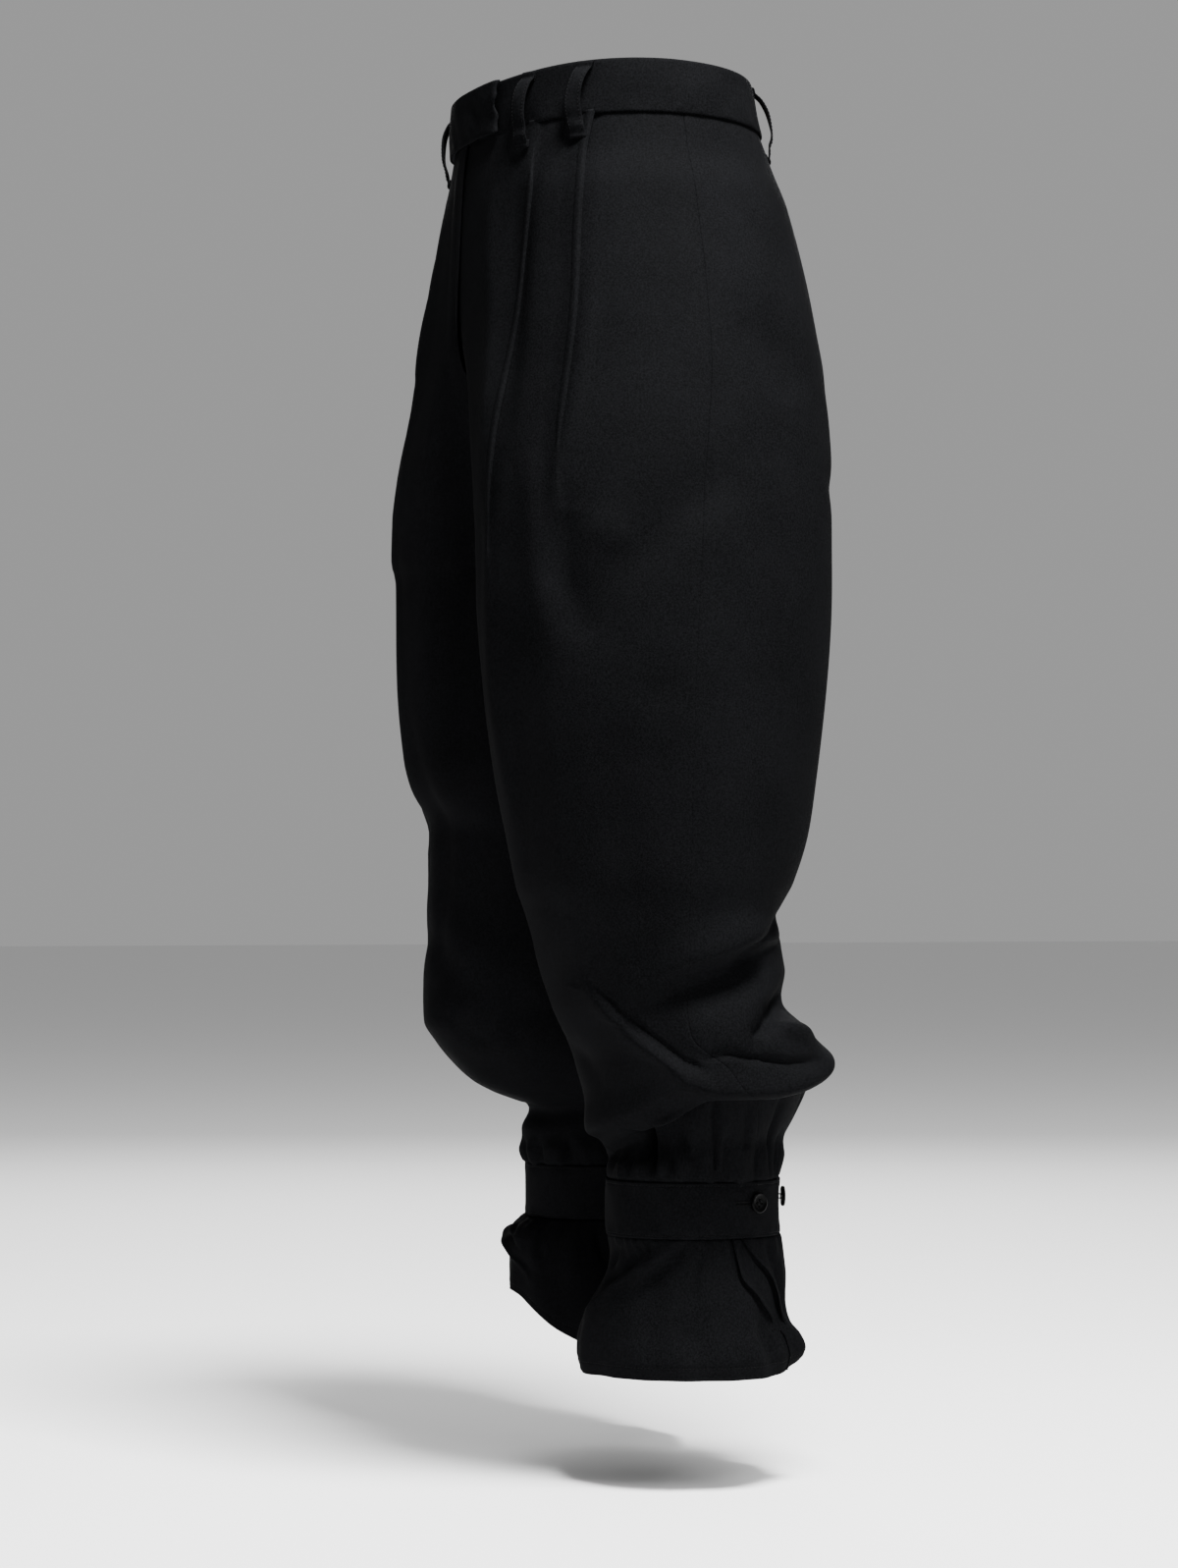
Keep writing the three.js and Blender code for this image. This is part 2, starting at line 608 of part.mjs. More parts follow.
function flounceGeometry(leg) {
  const rows = flounceDowns.map((down) => {
    const end = 360 + slit.edge(down);
    const stretches = [slit.underlapStart, ...tucks.map((tuck) => tuck.angle(down)), end];
    return flounceStrip.map((column) => {
      const i = Math.min(Math.floor(column), stretches.length - 2);
      const angle = lerp(stretches[i], stretches[i + 1], column - i);
      const inside = -slit.layerStep * (1 - smooth(angle, slit.edge(down) + 4, slit.edge(down) + 34));
      const lift = inside + slit.layerStep * smooth(angle, 316, 348);
      const middle = flouncePoint(leg, angle, down);
      const ahead = flouncePoint(leg, angle + 1, down).sub(flouncePoint(leg, angle - 1, down));
      const fallWay = flouncePoint(leg, angle, down + 2).sub(flouncePoint(leg, angle, down - 2));
      const normal = fallWay.cross(ahead);
      if (down < flounceDowns[1]) normal.z = 0;
      normal.normalize();
      const outward = lift + panelCloth / 2 + foldStep(tucks, angle, down, tuckFade);
      return layer(column, middle, normal, outward, panelCloth / 2 - lift);
    });
  });
  return clothWall(mirror(rows, leg.sign), leg.sign < 0);
}

// A round four-hole button with a raised rim, turned about Z with its back at 0.
function buttonSolid() {
  const { radius, rim, height, wellDepth, holeRadius, holeSpread } = button;
  const profile = [
    [0, 0], [radius - 1, 0], [radius, height - 1], [radius - rim, height],
    [radius - rim - 1.4, height - wellDepth], [0, height - wellDepth],
  ].map(([r, z]) => new THREE.Vector2(r, z));
  let body = solidOf(new THREE.LatheGeometry(profile, 16).rotateX(Math.PI / 2));
  for (const [x, y] of [[-1, -1], [-1, 1], [1, -1], [1, 1]]) {
    const hole = new THREE.CylinderGeometry(holeRadius, holeRadius, 3 * height, 6).rotateX(Math.PI / 2);
    body = body.subtract(solidOf(hole.translate(x * holeSpread, y * holeSpread, 0)));
  }
  return geometryOf(body);
}

// A closed geometry as a solid for joining and cutting, with vertices at one place made one.
function solidOf(geometry) {
  const source = geometry.index ? geometry.toNonIndexed() : geometry;
  const position = source.getAttribute("position");
  const found = new Map();
  const vertices = [];
  const corner = [];
  for (let i = 0; i < position.count; i += 1) {
    const at = [position.getX(i), position.getY(i), position.getZ(i)];
    const key = at.map((value) => Math.round(value * 1e4)).join(" ");
    if (!found.has(key)) {
      found.set(key, vertices.length / 3);
      vertices.push(...at);
    }
    corner.push(found.get(key));
  }
  const triVerts = [];
  for (let i = 0; i < corner.length; i += 3) {
    const [a, b, c] = corner.slice(i, i + 3);
    if (a !== b && b !== c && c !== a) triVerts.push(a, b, c);
  }
  return new wasm.Manifold(
    new wasm.Mesh({ numProp: 3, vertProperties: new Float32Array(vertices), triVerts: new Uint32Array(triVerts) }),
  );
}

function geometryOf(solid) {
  const mesh = solid.getMesh();
  const geometry = new THREE.BufferGeometry();
  geometry.setAttribute("position", new THREE.BufferAttribute(new Float32Array(mesh.vertProperties), 3));
  geometry.setIndex(new THREE.BufferAttribute(new Uint32Array(mesh.triVerts), 1));
  return geometry;
}

const materials = {
  cloth: new THREE.MeshStandardMaterial({ color: colours.cloth, roughness: 0.88, metalness: 0 }),
  button: new THREE.MeshStandardMaterial({ color: colours.button, roughness: 0.22, metalness: 0 }),
  metal: new THREE.MeshStandardMaterial({ color: colours.metal, roughness: 0.35, metalness: 1 }),
};

const trousers = new THREE.Group();

function add(name, geometry, material) {
  const mesh = new THREE.Mesh(geometry, material.clone());
  mesh.name = name;
  mesh.geometry.computeVertexNormals();
  trousers.add(mesh);
  return mesh;
}

for (const panel of ["front", "back"]) {
  for (const side of Object.keys(legs)) add(`${panel}_${side}`, panelGeometry(side, panel), materials.cloth);
}
add("fly_shield", flyShieldGeometry(), materials.cloth);
add("waistband", waistbandGeometry(), materials.cloth);
for (const place of loopPlaces) add(place.name, loopGeometry(place.angle), materials.cloth);

// The hook plate under the tab and the bar it catches, in the gap that the raised tab leaves.
const fastening = { angle: -78, height: 17, hook: [11, 0.6, 7], bar: [12, 0.6, 3] };
function fasteningPart(name, size, outBy) {
  const normal = bandNormal(fastening.angle);
  const mesh = add(name, new THREE.BoxGeometry(...size), materials.metal);
  mesh.position.copy(bandPoint(fastening.angle, fastening.height)).addScaledVector(normal, outBy);
  mesh.rotation.z = Math.atan2(normal.y, normal.x) + Math.PI / 2;
}
fasteningPart("waist_bar", fastening.bar, -0.1);
fasteningPart("waist_hook", fastening.hook, 0.7);

// Two buttons on each cuff: one holds the free end down, and a spare sits further round on the underlap.
const buttonPlaces = table("name angle down", [["button_holding", 25, 800], ["button_spare", 76, 799]]);
for (const [side, leg] of Object.entries(legs)) {
  add(`cuff_${side}`, cuffGeometry(leg.sign), materials.cloth);
  add(`flounce_${side}`, flounceGeometry(leg), materials.cloth);
  for (const place of buttonPlaces) {
    const turn = place.angle < cuff.lap ? place.angle + 360 : place.angle;
    const mesh = add(`${place.name}_${side}`, buttonSolid(), materials.button);
    const normal = cuffNormal(turn);
    const outBy = cuffOffset(turn) + bandCloth / 2 + seamGap;
    mesh.position.copy(cuffPoint(turn, place.down, 0)).addScaledVector(normal, outBy);
    mesh.position.x *= leg.sign;
    normal.x *= leg.sign;
    mesh.quaternion.setFromUnitVectors(new THREE.Vector3(0, 0, 1), normal);
  }
}

export default trousers;
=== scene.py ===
import json
import math

import bmesh
import bpy
import numpy as np
from mathutils import Matrix, Vector

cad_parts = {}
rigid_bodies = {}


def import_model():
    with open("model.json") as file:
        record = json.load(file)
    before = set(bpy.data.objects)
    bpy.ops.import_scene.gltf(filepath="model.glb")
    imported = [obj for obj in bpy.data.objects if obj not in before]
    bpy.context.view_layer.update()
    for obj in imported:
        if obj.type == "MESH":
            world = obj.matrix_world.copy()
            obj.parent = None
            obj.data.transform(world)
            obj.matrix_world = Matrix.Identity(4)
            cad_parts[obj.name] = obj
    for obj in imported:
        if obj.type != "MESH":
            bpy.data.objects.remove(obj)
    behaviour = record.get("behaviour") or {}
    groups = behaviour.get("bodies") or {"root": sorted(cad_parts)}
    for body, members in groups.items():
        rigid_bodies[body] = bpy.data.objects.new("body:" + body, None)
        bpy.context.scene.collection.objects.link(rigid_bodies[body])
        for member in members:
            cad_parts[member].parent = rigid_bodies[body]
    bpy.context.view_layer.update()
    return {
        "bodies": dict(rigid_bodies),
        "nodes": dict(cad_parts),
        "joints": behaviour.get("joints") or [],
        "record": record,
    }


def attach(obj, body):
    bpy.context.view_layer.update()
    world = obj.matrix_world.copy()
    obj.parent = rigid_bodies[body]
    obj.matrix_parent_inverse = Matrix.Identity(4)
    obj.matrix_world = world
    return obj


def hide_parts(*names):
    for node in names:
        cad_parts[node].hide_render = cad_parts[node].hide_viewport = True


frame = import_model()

millimetre = 0.001

# The view: level with the knees, 70 degrees round to the wearer's left
view = {
    "azimuth": 70,
    "distance": 2900,
    "height": -574,
    "slideRight": -13,
    "focalPixels": 3843,
    "imagePixels": 1597,
    "horizonPixel": 913,
    "sensor": 36,
}


def addObject(name, data):
    piece = bpy.data.objects.new(name, data)
    bpy.context.scene.collection.objects.link(piece)
    return piece


def makeCamera():
    turn = math.radians(view["azimuth"])
    away = Vector((math.sin(turn), -math.cos(turn), 0))
    right = Vector((math.cos(turn), math.sin(turn), 0))
    camera = addObject("camera", bpy.data.cameras.new("camera"))
    place = away * view["distance"] + right * view["slideRight"] + Vector((0, 0, view["height"]))
    camera.location = place * millimetre
    camera.rotation_euler = (math.pi / 2, 0, turn)
    camera.data.sensor_width = view["sensor"]
    camera.data.lens = view["focalPixels"] / view["imagePixels"] * view["sensor"]
    camera.data.shift_y = (view["horizonPixel"] - view["imagePixels"] / 2) / view["imagePixels"]
    bpy.context.scene.camera = camera


makeCamera()
print("camera placed")


# Smooth numbers
def smooth(x, low, high):
    t = np.clip((np.asarray(x, float) - low) / (high - low), 0, 1)
    return t * t * (3 - 2 * t)


def mix(a, b, share):
    return a + (b - a) * share


# A smooth curve with no overshoot, through one column of a table whose first column is the distance down
def curveThrough(rows, column=1):
    x = np.array([row[0] for row in rows], float)
    y = np.array([row[column] for row in rows], float)
    slope = np.diff(y) / np.diff(x)
    product, total = slope[:-1] * slope[1:], slope[:-1] + slope[1:]
    middle = np.where(product > 0, 2 * product / np.where(total == 0, 1, total), 0)
    tangent = np.concatenate([slope[:1], middle, slope[-1:]])

    def at(down):
        down = np.clip(np.asarray(down, float), x[0], x[-1])
        i = np.clip(np.searchsorted(x, down, side="right") - 1, 0, len(x) - 2)
        span = x[i + 1] - x[i]
        s = (down - x[i]) / span
        rise = mix(y[i], y[i + 1], s * s * (3 - 2 * s))
        return rise + span * s * (1 - s) * (tangent[i] * (1 - s) - tangent[i + 1] * s)

    return at


# Shared sizes of the trousers
trousers = {
    "waistHalfWidth": 144,
    "waistHalfDepth": 113,
    "bandHeight": 40,
    "crotch": 285,
    "cuffTop": 784,
    "cuffBottom": 826,
    "hem": 927,
    "ankleCentre": (92, 36),
    "halfGap": -0.05,
    "flyLength": 186,
    "flyLap": 8,
    "flyLift": 2.3,
}

# Leg sections: down, centre x and y, and the reach inward, outward, forward and back
hipSections = [
    (0, 0, 0, 144, 144, 113, 113),
    (25, 4, 0, 150, 147, 116, 122),
    (55, 12, 0, 155, 152, 118, 132),
    (110, 28, 0, 155, 152, 121, 142),
    (150, 44, 0, 137, 146, 123, 145),
    (187, 60, 0, 111, 138, 126, 147),
    (220, 76, 0, 105, 128, 130, 144),
    (255, 87, 0, 97.3, 122, 133, 142),
    (285, 93, 0, 92.85, 119, 134, 139.5),
    (310, 96, 0, 93.5, 118, 134, 138),
]
ankleSections = [(758, 92, 36, 58, 64, 69, 68), (784, 92, 36, 57, 58, 66, 66)]

# Folds: places along the line as (angle, down), the height (a valley is below zero), the widths above and
# below the line, how crisp it is (0 round, 1 creased) and how far its cloth sags
pleatOpenings = [
    ([(-72, 40), (-75, 129), (-80, 204), (-85, 300)], 3.6, 12, 11, 0.1, 0),
    ([(-58, 60), (-63, 140), (-72, 250)], -3.4, 10, 10, 0, 0),
    ([(-34, 120), (-42, 210), (-51, 300)], 2.4, 7, 7, 0, 0),
    ([(-46, 296), (-47, 345), (-40, 392)], -4.5, 16, 13, 0.2, 0),
    ([(-59, 250), (-57, 340), (-52, 410)], 3, 12, 12, 0, 0),
    ([(10, 262), (-12, 304), (-30, 348), (-42, 396)], -4.8, 26, 20, 0.2, 0),
    ([(-40, 306), (-24, 322)], 2, 16, 14, 0, 0),
    ([(-66, 400), (-74, 490), (-80, 560)], -3.5, 13, 13, 0, 0),
    ([(-54, 420), (-58, 500), (-62, 590)], 2.5, 12, 12, 0, 0),
    ([(-36, 430), (-34, 520), (-30, 600)], -2, 18, 18, 0, 0),
    ([(-34, 436), (-20, 452), (0, 452)], 2.5, 20, 26, 0, 0),
    ([(-76, 280), (-84, 420), (-82, 520)], 3.5, 14, 14, 0, 0),
    ([(-60, 440), (-66, 540)], -3, 20, 20, 0, 0),
    ([(16, 150), (30, 182), (36, 214)], -3.5, 26, 24, 0, 0),
    ([(60, 190), (100, 215), (140, 205)], -2.5, 18, 16, 0, 0),
    ([(50, 262), (95, 285), (150, 262)], -3, 16, 14, 0.2, 0),
    ([(-130, 330), (-150, 300), (-176, 292)], -3.5, 12, 12, 0.2, 0),
    ([(130, 330), (155, 305), (178, 292)], -3.5, 12, 12, 0.2, 0),
]

leftLeg = {
    "name": "left",
    "side": 1,
    "sections": hipSections
    + [
        (347, 97, 0, 92, 118, 134, 137),
        (420, 98, 0, 90, 116, 129, 132),
        (492, 98, 2, 88, 112, 121, 121),
        (528, 97.5, 4, 86, 108, 115, 114),
        (564, 97, 6, 84, 104, 108.6, 100),
        (588, 96.5, 10, 82, 99, 104.4, 82),
        (606, 96, 15, 81, 97, 103.6, 89),
        (626, 95.5, 20, 80, 96, 102.6, 84),
        (653, 95, 27, 80, 98, 101.6, 70),
        (674, 94, 33, 79, 101, 98.3, 88),
        (696, 93.5, 38, 78, 103, 92.6, 99),
        (714, 93, 38, 72, 96, 88, 88),
        (740, 92.5, 37, 62, 76, 79.7, 75),
    ]
    + ankleSections,
    "sideSeam": [
        (0, 4), (170, 3.5), (262, 0), (354, -3), (495, -6), (565, -8), (636, -16), (676, -22),
        (700, -8), (714, 7), (740, 18), (757, 22), (784, 22),
    ],
    "folds": pleatOpenings
    + [
        ([(62, 588), (34, 602), (14, 620)], -8, 9, 7, 0.6, 0),
        ([(84, 602), (45, 612), (13, 624), (-22, 644), (-44, 662)], -15, 12, 24, 0.3, 0),
        ([(66, 582), (20, 600), (-14, 617), (-34, 636)], 4, 16, 9, 0, 4),
        ([(60, 648), (27, 661), (9, 674), (3, 692)], -12, 9, 6, 0.7, 0),
        ([(-61, 635), (-52, 650), (-46, 665), (-38, 677), (-28, 693), (-16, 701)], -5, 2.6, 2.6, 0.9, 0),
        ([(-20, 692), (-9, 688), (4, 692), (21, 696), (46, 694)], -6, 5, 3.5, 0.9, 0),
        ([(-63, 638), (-53, 656), (-46, 672), (-37, 685), (-27, 701), (-14, 706), (14, 706), (44, 700),
          (76, 686)], 9, 6, 17, 0.3, 6),
        ([(24, 666), (38, 674), (54, 674)], 5, 9, 9, 0, 0),
        ([(-130, 772), (-106, 764), (-54, 754), (-34, 745), (-17, 722), (11, 721), (50, 713), (88, 700)],
         -16, 4, 20, 0.8, 0),
        ([(-122, 744), (-96, 740), (-66, 732), (-40, 718)], 5, 12, 12, 0, 6),
        ([(-44, 744), (-30, 734), (-16, 717)], 6, 3.5, 3.5, 0.5, 0),
        ([(-60, 748), (-50, 762), (-43, 783)], -9, 5, 5, 0.8, 0),
        ([(-56, 754), (-51, 766)], -7, 6, 6, 0.2, 0),
        ([(-37, 757), (-32, 783)], -4, 4, 4, 0.8, 0),
        ([(-29, 745), (-20, 768)], -5, 4, 5, 0.8, 0),
        ([(-12, 721), (-7, 750), (-5, 783)], -9, 3.5, 4, 0.9, 0),
        ([(8, 724), (14, 760)], -4, 5, 5, 0.6, 0),
        ([(32, 724), (38, 783)], -5, 6, 6, 0.7, 0),
        ([(62, 720), (60, 783)], -5, 6, 6, 0.7, 0),
        ([(-112, 674), (-90, 690), (-72, 712)], -2.5, 16, 14, 0.2, 0),
        ([(96, 598), (128, 618), (165, 622)], -5, 12, 10, 0.4, 0),
        ([(100, 650), (140, 662), (190, 676)], -6, 12, 9, 0.6, 0),
        ([(92, 690), (140, 702), (200, 708)], 7, 12, 14, 0.1, 6),
        ([(90, 712), (140, 724), (185, 730), (235, 752)], -7, 6, 13, 0.6, 0),
        ([(190, 660), (222, 672), (245, 680)], -5, 14, 12, 0.3, 0),
    ],
}

rightLeg = {
    "name": "right",
    "side": -1,
    "sections": hipSections
    + [
        (330, 97, 0, 92.5, 118, 131, 138),
        (408, 98, 0, 90, 116, 131.5, 133),
        (467, 98, 0, 89, 114, 127, 126),
        (486, 98, 1, 88, 112, 124, 123),
        (505, 97.5, 2, 87, 110, 118, 118),
        (525, 97, 3, 86, 108, 112.5, 113),
        (564, 97, 5, 84, 104, 114, 100),
        (600, 96.5, 9, 83, 102, 120, 90),
        (642, 96, 14, 82, 101, 127, 86),
        (673, 95, 20, 81, 102, 134, 92),
        (688, 94.5, 24, 80, 101, 127.5, 94),
        (704, 94, 28, 76, 97, 118, 91),
        (719, 93.5, 31, 70, 89, 106, 85),
        (727, 93, 33, 66, 82, 93, 80),
        (735, 92.5, 34, 62, 74, 74, 76),
        (743, 92, 35, 60, 68, 64, 72),
    ]
    + ankleSections,
    "sideSeam": [
        (0, 4), (170, 3.5), (262, 0), (354, -3), (495, -4), (600, -2), (680, 4), (740, 14), (784, 22),
    ],
    "folds": pleatOpenings
    + [
        ([(-56, 62), (-62, 112), (-74, 178)], 7, 24, 24, 0, 0),
        ([(-100, 120), (-112, 260), (-110, 420)], 3, 16, 16, 0, 0),
        ([(-126, 210), (-134, 330), (-124, 480)], -3.5, 15, 15, 0, 0),
        ([(-96, 440), (-104, 540), (-98, 640)], -3, 14, 14, 0, 0),
        ([(70, 560), (30, 580), (-10, 600)], -5, 14, 12, 0.4, 0),
        ([(85, 610), (40, 622), (0, 640), (-34, 648)], -7, 15, 11, 0.4, 0),
        ([(95, 662), (50, 655), (10, 668), (-30, 690)], -7, 12, 9, 0.6, 0),
        ([(90, 690), (45, 690), (10, 696), (-30, 706), (-60, 700)], 8, 10, 14, 0.2, 6),
        ([(-112, 668), (-124, 684), (-138, 674), (-152, 650)], -6, 20, 14, 0.1, 0),
        ([(-60, 520), (-95, 510), (-130, 522)], -3, 14, 16, 0.1, 0),
        ([(-70, 600), (-100, 612), (-118, 640)], -2.5, 18, 16, 0, 0),
        ([(110, 640), (140, 655), (190, 668)], -6, 12, 9, 0.6, 0),
        ([(100, 700), (140, 706), (200, 708)], 7, 12, 14, 0.1, 6),
        ([(92, 722), (140, 732), (190, 736), (250, 742), (300, 738)], -6, 5, 12, 0.6, 0),
        ([(24, 722), (34, 783)], -5, 6, 6, 0.7, 0),
        ([(64, 724), (60, 783)], -4, 7, 7, 0.6, 0),
        ([(-16, 724), (0, 783)], -5, 5, 6, 0.8, 0),
        ([(-50, 742), (-42, 783)], -4, 5, 5, 0.7, 0),
    ],
}

# Tucks into the cuff band: angle, depth, reach up the leg
gathers = [
    (-160, 4, 34), (-136, 5, 30), (-110, 5, 26), (-88, 4.5, 24), (-67, 5, 26), (-48, 5, 24),
    (-33, 5, 36), (-18, 4.5, 42), (1, 5, 60), (24, 4, 44), (46, 4.5, 46), (68, 5, 40), (90, 4.5, 34),
    (114, 5, 32), (138, 4.5, 36), (164, 4, 34),
]

# Knife pleats of each front: the fold edge's angle against down, where the fold starts to open and has
# opened, and how many columns of cloth lie before it
knifePleats = [
    {
        "angle": curveThrough([(0, -49), (45, -52), (134, -61), (242, -74), (331, -78), (784, -74)]),
        "opens": (250, 370),
        "columns": 46,
    },
    {
        "angle": curveThrough([(0, -29), (49, -34), (139, -39), (288, -47), (784, -48)]),
        "opens": (210, 325),
        "columns": 12,
    },
]
# A folded edge in section: how far along the cloth and how high, from the layer below, over the edge and
# back under
foldSection = [
    (-18, 0), (-14, 0.6), (-10, 1.4), (-6, 2.4), (-3, 3.1), (-1, 3.6), (0.2, 3.5), (0.4, 3.1), (-0.2, 2.8),
    (-3.4, 2.4), (-6, 1.9), (-7.2, 0.7), (-6, -0.6), (-3, -0.9), (0.6, -0.9), (7, 0),
]
foldEven = np.linspace(foldSection[0][0], foldSection[-1][0] + 1, len(foldSection))

for leg in (leftLeg, rightLeg):
    names = ("centreX", "centreY", "inward", "outward", "front", "back")
    leg["reach"] = {name: curveThrough(leg["sections"], i + 1) for i, name in enumerate(names)}
    leg["seam"] = curveThrough(leg["sideSeam"])


# The waist seam dips in front and rises a little behind
def seamLift(angle):
    front = np.maximum(0, -np.sin(np.radians(angle)))
    back = np.maximum(0, np.sin(np.radians(angle)))
    return -7 * front**3 + 3 * back**2


# The plain leg tube, with x outward from the middle
def tubePlace(leg, angle, down):
    reach = leg["reach"]
    turn = np.radians(angle)
    c, s = np.cos(turn), np.sin(turn)
    across = np.where(c > 0, reach["outward"](down), reach["inward"](down))
    deep = np.where(s > 0, reach["back"](down), reach["front"](down))
    lift = seamLift(angle) * (1 - smooth(down, 0, 70))
    x, y = reach["centreX"](down) + across * c, reach["centreY"](down) + deep * s
    return np.stack([x, y, lift - down], axis=-1)


def normalise(vectors):
    return vectors / np.maximum(np.linalg.norm(vectors, axis=-1, keepdims=True), 1e-9)


def tubeNormal(leg, angle, down):
    across = tubePlace(leg, angle + 1, down) - tubePlace(leg, angle - 1, down)
    fall = tubePlace(leg, angle, down + 2) - tubePlace(leg, angle, down - 2)
    return normalise(np.cross(fall, across))


# Millimetres of cloth for each degree round the leg
def clothPerDegree(leg, angle, down):
    across = tubePlace(leg, angle + 0.5, down) - tubePlace(leg, angle - 0.5, down)
    return np.linalg.norm(across, axis=-1)


legRadius = 108  # fold lines are measured on a leg this round


# The height and the sag that a list of folds gives each place
def foldField(folds, angle, down):
    height, sag = np.zeros_like(down), np.zeros_like(down)
    for line, rise, above, below, crisp, drop in folds:
        middle = sum(a for a, _ in line) / len(line)
        near = middle + (angle - middle + 180) % 360 - 180
        here = np.stack([np.radians(near) * legRadius, down], axis=-1)
        places = np.array([(math.radians(a) * legRadius, d) for a, d in line])
        lengths = np.concatenate([[0], np.cumsum(np.linalg.norm(np.diff(places, axis=0), axis=1))])
        nearest, run, under = np.full_like(down, 1e9), np.zeros_like(down), np.zeros(down.shape, bool)
        for i in range(len(places) - 1):
            along = places[i + 1] - places[i]
            share = np.clip((here - places[i]) @ along / (along @ along), 0, 1)
            offset = here - (places[i] + share[..., None] * along)
            distance = np.linalg.norm(offset, axis=-1)
            closer = distance < nearest
            nearest = np.where(closer, distance, nearest)
            run = np.where(closer, mix(lengths[i], lengths[i + 1], share) / lengths[-1], run)
            under = np.where(closer, offset[..., 1] > 0, under)
        spread = nearest / np.where(under, below, above)
        shape = np.exp(-1.4 * (spread + 1e-9) ** (2 - 0.8 * crisp))
        shape *= np.sqrt(np.sin(np.pi * np.clip(run, 0.015, 0.985)))
        height += rise * shape
        sag += drop * shape
    return height, sag


# Puffs between neighbouring tucks above the cuff band, with finer ones among them
def gatherHeight(angle, down):
    first = gathers[0][0]
    wrapped = (angle - first) % 360 + first
    starts = np.array([g[0] for g in gathers] + [first + 360], float)
    i = np.clip(np.searchsorted(starts, wrapped, side="right") - 1, 0, len(gathers) - 1)
    depth, reach = (np.array([g[k] for g in gathers] + [gathers[0][k]], float) for k in (1, 2))
    share = (wrapped - starts[i]) / (starts[i + 1] - starts[i])
    rise = np.clip((trousers["cuffTop"] - down) / mix(reach[i], reach[i + 1], share), 0, 1)
    swell = np.sin(np.pi * np.minimum(1, 0.1 + rise)) * (1 - smooth(rise, 0.4, 1))
    puff = mix(depth[i], depth[i + 1], share) * (np.abs(np.sin(np.pi * share)) ** 0.7 - 0.45) * swell * 1.5
    close = 1 - smooth(trousers["cuffTop"] - down, 2, 20)
    fine = 0.55 * np.sin(np.radians(wrapped) * 31 + 2 * np.sin(np.radians(wrapped) * 5)) * close
    return puff + fine


# Slow, uneven swells that loose cloth has everywhere
def easeHeight(angle, down, phase):
    turn = np.radians(angle)
    long = 0.8 * np.sin(3 * turn + 1.4 * np.sin(down / 87 + phase) + phase)
    short = 0.35 * np.sin(8 * turn + 0.9 * np.sin(down / 41) + 2 * phase) * np.sin(down / 37 + phase)
    slump = smooth(down, 540, 620) * (1 - smooth(down, 740, 780))
    cross = 0.9 * np.sin(down / 9.5 + 1.6 * np.sin(4 * turn + phase)) * np.sin(3 * turn + phase) * slump
    return (long + short) * smooth(down, 20, 120) + cross


# Cloth dips into a sewn seam, with a faint ridge where the seam allowance is pressed open beneath
def seamDip(distance):
    distance = np.abs(distance)
    return 0.15 * np.exp(-(((distance - 4) / 2.6) ** 2)) - 0.35 * np.exp(-((distance / 0.7) ** 2))


def openAngle(leg, down):
    share = (leg["reach"]["centreX"](down) - trousers["halfGap"]) / leg["reach"]["inward"](down)
    open_ = np.degrees(np.arccos(np.clip(share, -1, 1)))
    return np.where(down >= trousers["crotch"], 0, open_)


# The angle in front where the cloth lies a given way out from the middle plane
def frontAngle(leg, x, down):
    share = (leg["reach"]["centreX"](down) - x) / leg["reach"]["inward"](down)
    return np.degrees(np.arccos(np.clip(share, -1, 1))) - 180


panelCloth = {
    "rows": np.concatenate([
        [-3, -1], np.linspace(0.3, 250, 56), np.linspace(253, 300, 16), np.linspace(305, 545, 44),
        np.linspace(547.5, 783.8, 150), [785.6, 789, 793],
    ]),
    "seamColumns": np.array([0, 0.5, 1, 1.6, 2.4, 3.6, 5.2]),
    "middleWidth": 8,
    "sideColumns": 30,
    "backColumns": 106,
    "degreeWidth": 2.25,
    "wall": 1.0,
}


